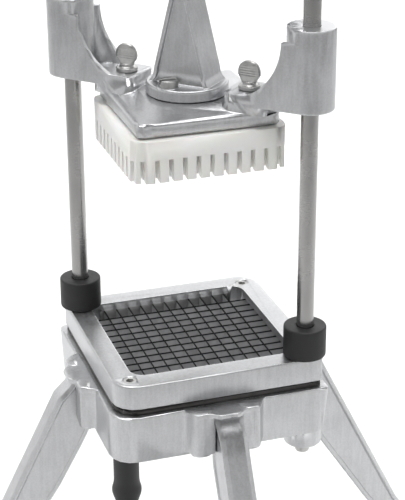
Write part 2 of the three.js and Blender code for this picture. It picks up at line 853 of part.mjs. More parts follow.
// Top yoke: an arch between the rods' upper ends, and a curved rear arm that carries the fulcrum
function archShape() {
  const spring = yokeSpringShare * rodReach;
  const crown = yokeCrownShare * rodReach;
  const low = yokeBottom + faceSink;
  const shape = new THREE.Shape();
  shape.moveTo(-rodReach, low);
  shape.lineTo(-crown, low);
  shape.quadraticCurveTo(-spring, low, -spring, low + yokeArch);
  shape.lineTo(spring, low + yokeArch);
  shape.quadraticCurveTo(spring, low, crown, low);
  shape.lineTo(rodReach, low);
  shape.lineTo(rodReach, low + yokeBeam);
  shape.lineTo(crown, low + yokeBeam);
  shape.quadraticCurveTo(spring, low + yokeBeam + yokeArch, 0, low + yokeBeam + yokeArch);
  shape.quadraticCurveTo(-spring, low + yokeBeam + yokeArch, -crown, low + yokeBeam);
  shape.lineTo(-rodReach, low + yokeBeam);
  return shape;
}

function armShape(inset, from, to) {
  const rise = yokeBottom + faceSink + yokeBeam + yokeArch - fulcrumHeight;
  const outerX = fulcrumBehind + armEndDepth / 2 - inset;
  const innerX = fulcrumBehind - armEndDepth / 2 + inset;
  const shape = new THREE.Shape();
  shape.absellipse(0, fulcrumHeight, outerX, rise - inset, from, to, true);
  shape.absellipse(0, fulcrumHeight, innerX, rise - armTopDepth + inset, to, from, false);
  return shape;
}

function yokeGeometry() {
  const eye = acrossX(cylinder(armEyeDiameter, -armPlate / 2, armPlate / 2));
  const bore = acrossX(cylinder(pinDiameter + 2 * seatGap, -armPlate, armPlate));
  const quarter = Math.PI / 2;
  const pocket = armShape(armPocketRim, armPocketStartShare * quarter, armPocketEndShare * quarter);
  const pockets = [-1, 1].map((side) =>
    uprightAlongX(pocket, 2 * armPocketDepth, 2 * cornerSteps).translate((side * armPlate) / 2, 0, 0),
  );
  const solids = [
    uprightAlongY(archShape(), yokeDepth),
    uprightAlongX(armShape(0, quarter, 0), armPlate, 2 * cornerSteps),
    eye.translate(0, fulcrumBehind, fulcrumHeight),
  ];
  const holes = [];
  const below = yokeBottom - cutOverrun;
  const above = yokeTop + cutOverrun;
  for (const [, side] of ends) {
    solids.push(cylinder(yokeBossDiameter, yokeBottom, yokeTop).translate(side * rodReach, 0, 0));
    const hole = cylinder(rodStudDiameter + 2 * seatGap, below, above, smallSides);
    holes.push(hole.translate(side * rodReach, 0, 0));
  }
  return carve(join(...solids), bore.translate(0, fulcrumBehind, fulcrumHeight), ...pockets, ...holes);
}

function capNutGeometry() {
  const low = yokeTop + nutWasherThickness + 2 * seatGap;
  const high = low + nutHeight;
  const radius = nutDomeDiameter / 2;
  const dome = nutDomeShares.map(([across, up]) => [across * radius, high + up * nutDomeHeight]);
  const profile = [[0, high - faceSink], [radius, high - faceSink], ...dome, [0, high + nutDomeHeight]];
  const hex = cylinder(nutWidth / Math.cos(Math.PI / 6), low, high, 6);
  const bore = cylinder(rodStudDiameter + 2 * seatGap, low - cutOverrun, low + nutBoreHeight, smallSides);
  return carve(join(hex, turned(profile, smallSides)), bore);
}

// Pivot pin across the lever plates, its washers and its retaining clip
function pinPieces(name, holder, y, z) {
  const at = (geometry) => acrossX(geometry).translate(0, y, z);
  const pin = join(
    cylinder(pinDiameter, -clipOuter - pinTail, clipInner + faceSink, smallSides),
    cylinder(pinHeadDiameter, clipInner, clipInner + pinHeadHeight, smallSides),
  );
  const bore = pinDiameter + 2 * seatGap;
  const ringAt = (diameter, from, to) => at(tube(diameter, bore, from, to, smallSides));
  holder.add(
    piece(name, at(pin), polishedSteel),
    piece(name + "_washer_left", ringAt(pinWasherDiameter, -washerOuter, -washerInner), zincSteel),
    piece(name + "_washer_right", ringAt(pinWasherDiameter, washerInner, washerOuter), zincSteel),
    piece(name + "_clip", ringAt(clipDiameter, -clipOuter, -clipInner), zincSteel),
  );
}

// Lever: local +X along the lever from the fulcrum towards the handle, local +Y up
function alongLever(geometry) {
  return geometry.rotateX(Math.PI / 2).rotateZ(-Math.PI / 2);
}

function leverPlateGeometry(side) {
  const eye = leverEyeDiameter / 2;
  const waist = leverWaist / 2;
  const nose = leverNose / 2;
  const noseAt = leverPlateReach - nose;
  const shape = new THREE.Shape();
  shape.absarc(0, 0, eye, Math.PI / 2, 1.5 * Math.PI);
  shape.lineTo(fulcrumBehind, -waist);
  shape.lineTo(slotEnd, -waist);
  shape.absarc(noseAt, 0, nose, 1.5 * Math.PI, 2.5 * Math.PI);
  shape.lineTo(slotEnd, waist);
  shape.lineTo(fulcrumBehind, waist);
  const round = (x, diameter) => new THREE.Path().absarc(x, 0, diameter / 2, 0, 2 * Math.PI, true);
  const slot = new THREE.Path();
  slot.absarc(fulcrumBehind, 0, slotWidth / 2, 1.5 * Math.PI, Math.PI / 2, true);
  slot.absarc(slotEnd, 0, slotWidth / 2, Math.PI / 2, -Math.PI / 2, true);
  shape.holes.push(
    slot,
    round(0, pinDiameter + 2 * seatGap),
    round(firstBolt, leverBoltDiameter + 2 * screwGap),
    round(firstBolt + leverBoltSpacing, leverBoltDiameter + 2 * screwGap),
  );
  const options = { depth: leverPlateThickness, bevelEnabled: false, curveSegments: 3 * cornerSteps };
  const low = side > 0 ? -plateOuter : plateInner;
  return alongLever(new THREE.ExtrudeGeometry(shape, options).translate(0, 0, low));
}

function handleGeometry() {
  const half = armPlate / 2;
  const tang = new THREE.BoxGeometry(tangEnd - tangStart, tangWidth, 2 * half);
  const bar = acrossX(cylinder(handleDiameter, tangEnd - faceSink, handleReach, smallSides));
  const holes = [0, 1].map((index) =>
    cylinder(leverBoltDiameter + 2 * screwGap, -handleDiameter, handleDiameter, smallSides)
      .translate(firstBolt + index * leverBoltSpacing, 0, 0),
  );
  return alongLever(carve(join(tang.translate((tangStart + tangEnd) / 2, 0, 0), bar), ...holes));
}

function leverBoltGeometry(place) {
  const low = plateOuter + seatGap;
  const tail = low + leverNutHeight + leverBoltTail;
  const head = cylinder(leverBoltHeadWidth / Math.cos(Math.PI / 6), low, low + leverBoltHeadHeight, 6);
  const shank = cylinder(leverBoltDiameter, -tail, low + faceSink, smallSides);
  return alongLever(join(head, shank).translate(place, 0, 0));
}

function leverNutGeometry(place) {
  const low = plateOuter + seatGap;
  const hex = cylinder(leverBoltHeadWidth / Math.cos(Math.PI / 6), -low - leverNutHeight, -low, 6);
  const hole = leverBoltDiameter + 2 * screwGap;
  const bore = cylinder(hole, -low - leverNutHeight - cutOverrun, cutOverrun - low, smallSides);
  return alongLever(carve(hex, bore).translate(place, 0, 0));
}

function gripGeometry() {
  const bore = handleDiameter / 2 + seatGap;
  const outer = gripDiameter / 2;
  const end = handleReach + seatGap + gripWall;
  const start = end - gripLength;
  const span = (gripLength - 4 * gripRound) / gripGrooveCount;
  const profile = [[bore, start], [outer - gripRound, start], [outer, start + gripRound]];
  for (let index = 0; index < gripGrooveCount; index += 1) {
    const from = start + 2 * gripRound + index * span;
    const width = gripGrooveShare * span;
    profile.push([outer, from], [outer - gripGrooveDepth, from + width / 2], [outer, from + width]);
  }
  profile.push([outer, end - gripRound], [outer - gripRound, end], [0, end], [0, handleReach + seatGap]);
  profile.push([bore, handleReach + seatGap], [bore, start]);
  return alongLever(acrossX(turned(profile, smallSides)));
}

// Assembly: the base stands square to the axes, and everything on the rods stands on the rods' diagonal
const cutter = new THREE.Group();
const diagonal = new THREE.Group();
diagonal.rotation.z = crossTurn;
const lever = new THREE.Group();
lever.position.set(0, fulcrumBehind, fulcrumHeight);
lever.rotation.x = -restAngle;
diagonal.add(lever);
cutter.add(diagonal);

cutter.add(
  piece("base_body", bodyGeometry(), castAluminium),
  piece("blade_frame", frameGeometry(), bladeSteel),
  piece("blade_grid", gridGeometry(), bladeSteel),
  piece("clamp_ring", ringGeometry(), castAluminium),
  piece("pusher_block", pusherGeometry(), whiteNylon),
);

for (const [index, name] of ["front", "back"].entries()) {
  const [x, y] = screwCorners[index];
  const shape = socketScrew(
    smallScrewDiameter, smallHeadDiameter, ringHeadHeight,
    smallSocketDiameter, smallSocketDepth, ringScrewGrip);
  const screw = piece("ring_screw_" + name, shape, zincSteel);
  screw.position.set(x * ringScrewOffset, y * ringScrewOffset, ringHeadSeat);
  cutter.add(screw);
}

for (const [name, turn] of sides) {
  const leg = piece("leg_" + name, legGeometry(), castAluminium);
  leg.rotation.z = turn;
  const foot = piece("suction_foot_" + name, footGeometry(), blackRubber);
  foot.position.set(footOffset * Math.cos(turn), footOffset * Math.sin(turn), 0);
  const grip = bodyWall + seatGap + legScrewGrip - screwGap;
  const seat = bodySide / 2 - bodyWall - seatGap;
  const shape = hexScrew(smallScrewDiameter, smallHeadDiameter, smallHexHeight, grip);
  acrossX(shape).rotateZ(Math.PI).translate(seat, 0, legScrewHeight);
  const screw = piece("leg_screw_" + name, shape, zincSteel);
  screw.rotation.z = turn;
  cutter.add(leg, foot, screw);
}

const nutWasherBottom = yokeTop + seatGap;
const rodScrewWasherTop = rodBossBottom - seatGap;
const rodScrewWasherBottom = rodScrewWasherTop - rodScrewWasherThickness;
for (const [name, side] of ends) {
  const nutWasher = tube(
    nutWasherDiameter, rodStudDiameter + 2 * seatGap,
    nutWasherBottom, nutWasherBottom + nutWasherThickness, smallSides);
  const screwWasher = tube(
    rodScrewWasherDiameter, smallScrewDiameter + 2 * screwGap,
    rodScrewWasherBottom, rodScrewWasherTop, smallSides);
  const screw = socketScrew(
    smallScrewDiameter, smallHeadDiameter, rodScrewHeadHeight, smallSocketDiameter, smallSocketDepth,
    rodScrewGrip + rodScrewWasherThickness + seatGap);
  screw.rotateX(Math.PI).translate(0, 0, rodScrewWasherBottom - seatGap);
  const standing = [
    piece("guide_rod_" + name, rodGeometry(), polishedSteel),
    piece("stop_bumper_" + name, bumperGeometry(), blackRubber),
    piece("rod_nut_" + name, capNutGeometry(), polishedSteel),
    piece("rod_washer_" + name, nutWasher, zincSteel),
    piece("guide_bush_" + name, bushGeometry(), bronze),
    piece("rod_screw_" + name, screw, zincSteel),
    piece("rod_screw_washer_" + name, screwWasher, zincSteel),
  ];
  for (const part of standing) part.position.x = side * rodReach;
  const thumb = piece("thumb_screw_" + name, thumbGeometry(), zincSteel);
  thumb.position.x = side * thumbOffset;
  const insert = piece("block_insert_" + name, insertGeometry(), bronze);
  insert.position.x = side * thumbOffset;
  diagonal.add(...standing, thumb, insert);
}

diagonal.add(
  piece("head_casting", headGeometry(), castAluminium),
  piece("tower", towerGeometry(), castAluminium),
  piece("top_yoke", yokeGeometry(), castAluminium),
);

for (const [name, side] of [["front", -1], ["back", 1]]) {
  const bolt = socketScrew(
    towerBoltDiameter, towerBoltHeadDiameter, towerBoltHeadHeight,
    towerBoltSocketDiameter, towerBoltSocketDepth, towerBoltGrip);
  const mesh = piece("tower_bolt_" + name, bolt, zincSteel);
  mesh.position.set(side * towerBoltAside, side * towerBoltOut, discTop - towerBoltHeadSink);
  diagonal.add(mesh);
}

pinPieces("lever_pin", diagonal, 0, pinHeight);
pinPieces("fulcrum_pin", diagonal, fulcrumBehind, fulcrumHeight);

lever.add(
  piece("lever_plate_left", leverPlateGeometry(-1), castAluminium),
  piece("lever_plate_right", leverPlateGeometry(1), castAluminium),
  piece("handle_bar", handleGeometry(), polishedSteel),
  piece("handle_grip", gripGeometry(), blackRubber),
);
for (const [index, name] of ["rear", "front"].entries()) {
  const place = firstBolt + index * leverBoltSpacing;
  lever.add(
    piece("handle_bolt_" + name, leverBoltGeometry(place), zincSteel),
    piece("handle_nut_" + name, leverNutGeometry(place), zincSteel),
  );
}

export default cutter;
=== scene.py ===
"""Finishes, rounded edges and turned pieces of a french fry cutter, laid out as a Blender add-on."""

import json
import math

import bmesh
import bpy
from bpy.props import FloatProperty, FloatVectorProperty, IntProperty, PointerProperty
from mathutils import Matrix, Vector

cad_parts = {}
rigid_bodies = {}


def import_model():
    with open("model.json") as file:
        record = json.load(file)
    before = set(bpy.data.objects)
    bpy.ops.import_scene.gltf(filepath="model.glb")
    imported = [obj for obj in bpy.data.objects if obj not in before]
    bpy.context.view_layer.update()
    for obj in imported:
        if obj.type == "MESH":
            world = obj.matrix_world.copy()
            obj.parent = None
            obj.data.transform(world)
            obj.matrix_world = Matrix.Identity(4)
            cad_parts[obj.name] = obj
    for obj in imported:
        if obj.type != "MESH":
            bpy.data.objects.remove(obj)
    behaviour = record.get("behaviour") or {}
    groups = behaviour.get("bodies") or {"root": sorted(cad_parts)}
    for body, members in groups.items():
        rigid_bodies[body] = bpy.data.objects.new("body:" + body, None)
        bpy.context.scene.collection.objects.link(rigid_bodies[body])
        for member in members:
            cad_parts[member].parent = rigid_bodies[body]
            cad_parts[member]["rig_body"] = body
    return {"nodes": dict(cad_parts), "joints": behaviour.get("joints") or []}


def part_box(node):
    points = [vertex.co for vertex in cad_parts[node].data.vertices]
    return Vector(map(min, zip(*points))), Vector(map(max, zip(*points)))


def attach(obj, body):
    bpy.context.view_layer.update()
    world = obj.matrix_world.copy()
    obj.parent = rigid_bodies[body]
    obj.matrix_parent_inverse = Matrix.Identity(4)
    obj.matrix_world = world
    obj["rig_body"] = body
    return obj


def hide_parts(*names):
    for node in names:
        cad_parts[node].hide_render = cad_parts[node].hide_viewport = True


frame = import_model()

bl_info = {
    "name": "French fry cutter",
    "version": (1, 0, 0),
    "blender": (4, 5, 0),
    "location": "View3D > Sidebar > Cutter",
    "description": "Dresses the parts of a lever press with a blade grid",
    "category": "Object",
}

NODES = frame["nodes"]
QUARTERS = ("right", "back", "left", "front")
PAIR = ("left", "right")
FULL_TURN = 2 * math.pi
UP = Vector((0, 0, 1))

# Corners of the square castings as signs of x and y, and the line of the pivot pins, which runs over the rods
ROD_CORNERS = ((-1, 1), (1, -1))
ALL_CORNERS = (*ROD_CORNERS, (-1, -1), (1, 1))
PIN_AXIS = Vector((1, -1, 0)).normalized()
CROSS = Matrix.Rotation(-math.pi / 4, 4, "Z")

# Vertices closer than MERGE are one, an added part covers a face by SKIN or reaches SINK into it, and
# neighbours lie SEAT_GAP apart
MERGE = 2e-6
SKIN = 2e-5
SINK = 0.001
SEAT_GAP = 0.0003

# Faces that meet at a larger angle than this have a sharp edge
SHARP_ANGLE = math.radians(33)

# Width across the flats of a screw's socket over the radius that cuts its corners off a little
SOCKET_FLATS = 1.72

# Stretch of a noise into lines round an upright piece
AROUND = (0.15, 0.15, 1)

FLOOR_SIZE = 40.0
CAMERA_PLACE = (-0.3197, -1.0087, 0.8027)
CAMERA_AIM = (-0.08374, -0.287915, 0.472558)
CAMERA_ROLL = math.radians(-0.25)
CAMERA_LENS = 116.19


def length(name, description, default):
    """A size in metres that the panel shows."""
    return FloatProperty(name=name, description=description, default=default, unit="LENGTH", precision=5)


def colour(name, description, default):
    """A colour that the panel shows."""
    return FloatVectorProperty(name=name, description=description, default=default, size=3, subtype="COLOR")


class CutterSizes(bpy.types.PropertyGroup):
    """Sizes of the rounded edges, the turned pieces and the blades."""

    lobe_depth: length("Lobe", "How far a lobe beside a leg stands out of the body", 0.0100)
    lobe_start: length("Lobe start", "Where a lobe starts beside the leg's middle", 0.0086)
    lobe_crest: length("Lobe crest", "Where a lobe starts to fall back to the wall", 0.0218)
    lobe_end: length("Lobe end", "Where a lobe has run out into the wall", 0.0304)
    ledge_depth: length("Ledge", "How far the ledge over a leg stands out of the body", 0.0146)
    ledge_height: length("Ledge height", "Thickness of the ledge over a leg", 0.0032)
    ledge_crest: length("Ledge crest", "Half width of the ledge's front", 0.0062)
    corner_radius: length("Rod corner", "Radius of the castings' corners at the rods", 0.004)
    cast_edge: length("Cast edge", "Rounding on the edges of the castings", 0.0009)
    leg_width: length("Leg width", "Width of a leg's outer face", 0.020)
    leg_web: length("Leg web", "Width of a leg behind its outer face", 0.0158)
    leg_flat: length("Leg flat", "Width of the flat strip on a leg's outer face", 0.0124)
    tower_depth: length("Tower depth", "Depth of the tower's body", 0.025)
    tower_foot: length("Tower foot", "Width of the tower's body above its flare", 0.0386)
    tower_top: length("Tower top", "Width of the tower's upper part", 0.014)
    tower_taper: length("Tower taper", "Height at which the tower's taper ends above its foot", 0.058)
    tower_flare: length("Tower flare", "Height of the flare at the tower's foot", 0.009)
    tower_rim: length("Tower rim", "Width of the rims beside the tower's panels", 0.0026)
    tower_panel: length("Tower panel", "Depth of the tower's panels", 0.0024)
    skirt_spread: length("Skirt", "How far the slope round an arm's end spreads", 0.0038)
    block_edge: length("Block growth", "How much wider the block is than its fingers need", 0.0016)
    turned_round: length("Turned edge", "Rounding on the edges of screws and washers", 0.0004)
    rubber_round: length("Rubber edge", "Rounding on the edges of the rubber pieces", 0.0013)
    rod_diameter: length("Rod", "Diameter of the guide rods", 0.012)
    stud_diameter: length("Stud", "Diameter of the rods' upper ends", 0.010)
    yoke_height: length("Yoke boss", "Height of the yoke's bosses on the rods", 0.0246)
    bumper_bore: length("Bumper bore", "Diameter of the bumper's bore at its rim", 0.0132)
    bumper_sink: length("Bumper bore depth", "Depth of the wide part of the bumper's bore", 0.0004)
    screw_shank: length("Screw shank", "Diameter of the small screws", 0.006)
    screw_head: length("Screw head", "Height of the ring screws' heads", 0.004)
    long_head: length("Long screw head", "Height of the rod screws' heads", 0.006)
    hex_head: length("Hexagon head", "Height of the leg screws' heads", 0.004)
    screw_socket: length("Screw socket", "Width across the small screws' sockets", 0.005)
    bolt_shank: length("Bolt shank", "Diameter of the tower bolts", 0.008)
    bolt_head: length("Bolt head", "Height of the tower bolts' heads", 0.008)
    bolt_rise: length("Bolt rise", "How much taller the tower bolts' heads stand for their slot", 0.0014)
    bolt_slot: length("Bolt slot", "Width of the slot over the tower bolts' heads", 0.0036)
    slot_depth: length("Slot depth", "Depth of the slot over the tower bolts' heads", 0.003)
    socket_depth: length("Socket depth", "Depth of all sockets", 0.0032)
    head_height: length("Handle bolt head", "Height of the handle bolts' heads", 0.0053)
    nut_flats: length("Nut flats", "Width across the rods' cap nuts", 0.017)
    nut_height: length("Nut height", "Height of the cap nuts' hexagons", 0.008)
    nut_dome: length("Nut dome", "Diameter of the cap nuts' domes", 0.0155)
    washer_bore: length("Washer bore", "Width of the gap between a washer's bore and its screw", 0.0006)
    collar_height: length("Collar height", "Height of a thumb screw's collar", 0.0026)
    neck_diameter: length("Neck", "Diameter of a thumb screw's neck", 0.009)
    neck_height: length("Neck height", "Height of a thumb screw's neck", 0.0027)
    spade_width: length("Spade width", "Width of a thumb screw's spade", 0.0162)
    spade_height: length("Spade height", "Height of a thumb screw's spade", 0.0152)
    spade_thickness: length("Spade thickness", "Thickness of a thumb screw's spade", 0.0042)
    spade_rib: length("Spade rib", "Distance between the ribs of a spade", 0.0017)
    pin_head: length("Pin head", "Height of a pivot pin's head", 0.004)
    pin_diameter: length("Pin", "Diameter of the pivot pins", 0.010)
    blade_pitch: length("Blade pitch", "Distance between two blades", 0.009525)
    blade_thickness: length("Blade thickness", "Thickness of a blade", 0.0008)
    blade_edge: length("Blade edge", "Height of a blade's ground edge", 0.0022)
    blade_step: length("Blade step", "Distance that the second layer of blades lies lower", 0.0005)
    grip_rib: length("Grip rib", "Distance between the ribs of the grip", 0.007)
    grip_depth: length("Grip depth", "Depth of the grip's grooves", 0.0011)
    blade_count: IntProperty(name="Blades", description="Blades each way", default=11)


class CutterColours(bpy.types.PropertyGroup):
    """Colours of the finishes and the floor."""

    cast_aluminium: colour("Cast aluminium", "Satin castings", (0.60, 0.605, 0.615))
    polished_steel: colour("Polished steel", "Guide rods and pins", (0.43, 0.425, 0.42))
    plated_steel: colour("Plated steel", "Screws, nuts and washers", (0.55, 0.55, 0.54))
    blade_steel: colour("Blade steel", "Blades", (0.6, 0.6, 0.61))
    # Dark steel that also serves as painted shade on the frame's outer edge, in the gap between the ring and
    # the body
    dark_steel: colour("Dark steel", "Frame under the blades", (0.055, 0.052, 0.05))
    black_rubber: colour("Rubber", "Bumpers, feet and grip", (0.008, 0.008, 0.0085))
    white_nylon: colour("Nylon", "Block with fingers", (0.93, 0.93, 0.92))
    bronze: colour("Bronze", "Bushes and inserts", (0.46, 0.32, 0.15))
    floor: colour("Floor", "Pale floor", (0.83, 0.83, 0.83))


# Node trees and finishes


class Wire:
    """A node's output whose sums and products add Math nodes."""

    def __init__(self, nodes, socket):
        self.nodes = nodes
        self.socket = socket

    def __add__(self, other):
        return self.nodes.maths("ADD", self, other)

    def __sub__(self, other):
        return self.nodes.maths("SUBTRACT", self, other)

    def __rsub__(self, other):
        return self.nodes.maths("SUBTRACT", other, self)

    def __mul__(self, other):
        return self.nodes.maths("MULTIPLY", self, other)

    __radd__ = __add__
    __rmul__ = __mul__


class NodeTree:
    """A node tree whose nodes all come from one method."""

    def __init__(self, tree):
        self.tree = tree

    def node(self, kind, settings=None, sockets=None, output=0):
        """Adds a node, sets what it is first, and then feeds its sockets."""
        made = self.tree.nodes.new(kind)
        for name, value in (settings or {}).items():
            setattr(made, name, value)
        for name, value in (sockets or {}).items():
            self.feed(made.inputs[name], value)
        return Wire(self, made.outputs[output])

    def feed(self, socket, value):
        """Feeds a socket with a value, a wire or a list of wires."""
        for single in value if isinstance(value, list) else [value]:
            if isinstance(single, Wire):
                self.tree.links.new(single.socket, socket)
            else:
                socket.default_value = single

    def maths(self, operation, first, second=0.0):
        """The wire of a Math node on one or two numbers or wires."""
        return self.node("ShaderNodeMath", {"operation": operation}, {0: first, 1: second})


class ShaderNodes(NodeTree):
    """The node tree of a material or a world."""

    def __init__(self, owner):
        owner.use_nodes = True
        super().__init__(owner.node_tree)

    def spread(self, value, low, high):
        """The value's middle range stretched over 0 to 1."""
        settings = {"clamp": True, "interpolation_type": "SMOOTHSTEP"}
        return self.node("ShaderNodeMapRange", settings, {"Value": value, "From Min": low, "From Max": high})

    def part(self, vector, axis):
        """One number of a vector."""
        return self.node("ShaderNodeSeparateXYZ", None, {0: vector}, axis)


class Paint(ShaderNodes):
    """A procedural finish."""

    def __init__(self, name, **constants):
        self.material = bpy.data.materials.new(name)
        super().__init__(self.material)
        self.inputs = self.tree.nodes["Principled BSDF"].inputs
        for socket, value in constants.items():
            self.inputs[socket.replace("_", " ")].default_value = value
        self.place = self.node("ShaderNodeTexCoord", output="Object")

    def noise(self, size, detail=3.0, stretch=(1, 1, 1)):
        """Soft noise from 0 to 1, whose features measure about size metres before the stretch."""
        scaled = self.node("ShaderNodeMapping", None, {"Vector": self.place, "Scale": stretch})
        sockets = {"Vector": scaled, "Scale": 1 / size, "Detail": detail}
        return self.node("ShaderNodeTexNoise", {"noise_dimensions": "3D"}, sockets)

    def clouds(self, size, detail=3.0, high=0.7, stretch=(1, 1, 1), low=0.3):
        """Noise with more contrast."""
        return self.spread(self.noise(size, detail, stretch), low, high)

    def rounded_normal(self, samples, radius):
        """The normal that edges rounded by a radius would have."""
        return self.node("ShaderNodeBevel", {"samples": samples}, {"Radius": radius})

    def edges(self, radius, low, high):
        """From 0 on the faces to 1 on the edges."""
        sockets = {0: self.rounded_normal(8, radius), 1: self.node("ShaderNodeNewGeometry", output="Normal")}
        match = self.node("ShaderNodeVectorMath", {"operation": "DOT_PRODUCT"}, sockets, "Value")
        return self.spread(1 - match, low, high)

    def between(self, mask, first, second):
        """A colour between two, where each is a colour or a wire."""
        first, second = [end if isinstance(end, Wire) else (*end, 1) for end in (first, second)]
        return self.node("ShaderNodeMix", {"data_type": "RGBA"}, {0: mask, 6: first, 7: second}, 2)

    def done(self, tone, rough, height, strength, distance, rounding=0.0):
        """Feeds colour, roughness and bump, over edges that the render rounds off by a radius."""
        self.feed(self.inputs["Base Color"], tone)
        self.feed(self.inputs["Roughness"], rough)
        sockets = {"Height": height, "Strength": strength, "Distance": distance}
        if rounding:
            sockets["Normal"] = self.rounded_normal(6, rounding)
        self.feed(self.inputs["Normal"], self.node("ShaderNodeBump", None, sockets))
        return self.material


def shade(base, factor):
    """The same colour, lighter or darker."""
    return tuple(min(1.0, part * factor) for part in base)


def cast_aluminium(name, base):
    """Tumbled castings: clouds, fine grain, short rubbed marks, and edges made brighter and smoother, partly
    as rubbed wear and partly as a painted highlight.
    """
    paint = Paint(name, Metallic=1.0)
    cloud = paint.clouds(size=0.02, detail=5.0, low=0.32, high=0.68)
    grain = paint.clouds(size=0.0013)
    marks = paint.clouds(size=0.0024, detail=4.0, stretch=(1, 1, 0.12))
    # Edges are painted brighter and less rough: partly rubbed wear, partly a painted highlight
    wear_and_highlight = paint.edges(radius=0.0014, low=0.015, high=0.17)
    mix = cloud * 0.3 + grain * 0.35 + marks * 0.35
    plain = paint.between(mix, shade(base, 0.84), shade(base, 1.12))
    tone = paint.between(wear_and_highlight * 0.85, plain, shade(base, 1.55))
    rough = mix * 0.2 - wear_and_highlight * 0.08 + 0.27
    relief = grain * 0.5 + marks * 0.5
    return paint.done(tone, rough, relief, strength=0.3, distance=0.00012, rounding=0.0005)


def polished_steel(name, base):
    """Ground and polished bars, with faint lines round them."""
    paint = Paint(name, Metallic=1.0)
    cloud = paint.clouds(size=0.02, stretch=(1, 1, 0.5))
    rings = paint.noise(size=0.0007, detail=2.0, stretch=AROUND)
    tone = paint.between(cloud * 0.6 + rings * 0.4, shade(base, 0.88), shade(base, 1.1))
    rough = rings * 0.04 + cloud * 0.06 + 0.2
    return paint.done(tone, rough, rings, strength=0.03, distance=0.0001)


def plated_steel(name, base):
    """Bright zinc plate, a little uneven."""
    paint = Paint(name, Metallic=1.0)
    cloud = paint.clouds(size=0.006)
    grain = paint.noise(size=0.0005, detail=2.0)
    tone = paint.between(cloud, shade(base, 0.85), shade(base, 1.1))
    rough = cloud * 0.12 + grain * 0.1 + 0.26
    return paint.done(tone, rough, grain, strength=0.1, distance=0.0001, rounding=0.0003)


def blade_steel(name, base):
    """Rolled steel with long faint lines, paler rubbed patches and a nearly black band painted along the top
    edge as painted shade.
    """
    paint = Paint(name, Metallic=0.3)
    cloud = paint.clouds(size=0.009, high=0.75)
    lines = paint.noise(size=0.0008, detail=3.0, stretch=(0.2, 0.2, 1))
    plain = paint.between(cloud * 0.6 + lines * 0.4, shade(base, 0.8), shade(base, 1.2))
    # A band along each blade's top edge is painted nearly black: painted shade, not a colour of the steel
    shade_band_height, shade_band_blur = 0.0016, 0.0003
    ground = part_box("blade_grid")[1].z - shade_band_height
    edge = paint.spread(paint.part(paint.place, 2), ground - shade_band_blur, ground + shade_band_blur)
    tone = paint.between(edge, plain, shade(base, 0.03))
    rough = lines * 0.2 + cloud * 0.12 + 0.3
    return paint.done(tone, rough, lines, strength=0.12, distance=0.0001)


def dark_steel(name, base):
    """Oiled steel plate, dark on its outer edge, partly dark steel and partly painted shade where the edge
    shows in the gap between the ring and the body, and paler round its opening.
    """
    paint = Paint(name, Metallic=1.0)
    across, along = [paint.maths("ABSOLUTE", paint.part(paint.place, axis)) for axis in (0, 1)]
    # The paler middle is the plate's own colour; the dark outer band is partly dark steel and partly painted
    # shade for the gap under the ring
    inside = 1 - paint.spread(paint.maths("MAXIMUM", across, along), low=0.066, high=0.072)
    stain = paint.noise(size=0.004, detail=4.0)
    pale = (0.42, 0.42, 0.42)
    tone = paint.between(inside * 0.85 + stain * 0.15, base, pale)
    return paint.done(tone, stain * 0.25 + 0.3, stain, strength=0.15, distance=0.0001)


def black_rubber(name, base):
    """Moulded rubber with a fine matt skin and a little dust."""
    paint = Paint(name, Specular_IOR_Level=0.6)
    cloud = paint.clouds(size=0.012, detail=4.0, high=0.75)
    skin = paint.noise(size=0.0006)
    tone = paint.between(cloud * 0.6 + skin * 0.4, shade(base, 0.75), shade(base, 1.7))
    rough = cloud * 0.14 + skin * 0.14 + 0.42
    return paint.done(tone, rough, skin, strength=0.18, distance=0.0002, rounding=0.0006)


def white_nylon(name, base):
    """Moulded nylon, slightly waxy, with faint flow marks."""
    paint = Paint(name, Specular_IOR_Level=0.5, Subsurface_Weight=0.12, Subsurface_Scale=0.004)
    cloud = paint.clouds(size=0.03)
    skin = paint.noise(size=0.0011, detail=2.0)
    warmth = (0.985, 0.98, 0.93)
    warm = [part * factor for part, factor in zip(base, warmth)]
    tone = paint.between(cloud * 0.7 + skin * 0.3, warm, shade(base, 1.04))
    rough = cloud * 0.1 + skin * 0.1 + 0.34
    relief = skin + cloud * 0.5
    return paint.done(tone, rough, relief, strength=0.08, distance=0.0002, rounding=0.0007)


def bronze(name, base):
    """Turned bronze, with lines round it."""
    paint = Paint(name, Metallic=1.0)
    rings = paint.noise(size=0.0006, detail=2.0, stretch=AROUND)
    cloud = paint.noise(size=0.005)
    tone = paint.between(cloud, shade(base, 0.8), shade(base, 1.2))
    rough = rings * 0.18 + cloud * 0.1 + 0.24
    return paint.done(tone, rough, rings, strength=0.12, distance=0.0001, rounding=0.0003)


def pale_floor(name, base):
    """A plain pale studio floor."""
    paint = Paint(name, Specular_IOR_Level=0.1)
    cloud = paint.noise(size=0.6, detail=2.0)
    paint.feed(paint.inputs["Base Color"], paint.between(cloud, shade(base, 0.985), base))
    paint.feed(paint.inputs["Roughness"], cloud * 0.1 + 0.7)
    return paint.material


FINISHES = {
    kind.__name__: kind
    for kind in (
        cast_aluminium, polished_steel, plated_steel, blade_steel, dark_steel, black_rubber, white_nylon,
        bronze,
    )
}


def finish(slot):
    """The finish of a material slot, made when it is first asked for."""
    name = "cutter_" + slot
    found = bpy.data.materials.get(name)
    return found or FINISHES[slot](name, getattr(bpy.context.scene.cutter_colours, slot))


# Meshes and measures


def new_object(name, shape):
    """A scene object at the origin from a bmesh, which it frees."""
    mesh = bpy.data.meshes.new(name)
    shape.to_mesh(mesh)
    shape.free()
    made = bpy.data.objects.new(name, mesh)
    bpy.context.scene.collection.objects.link(made)
    return made


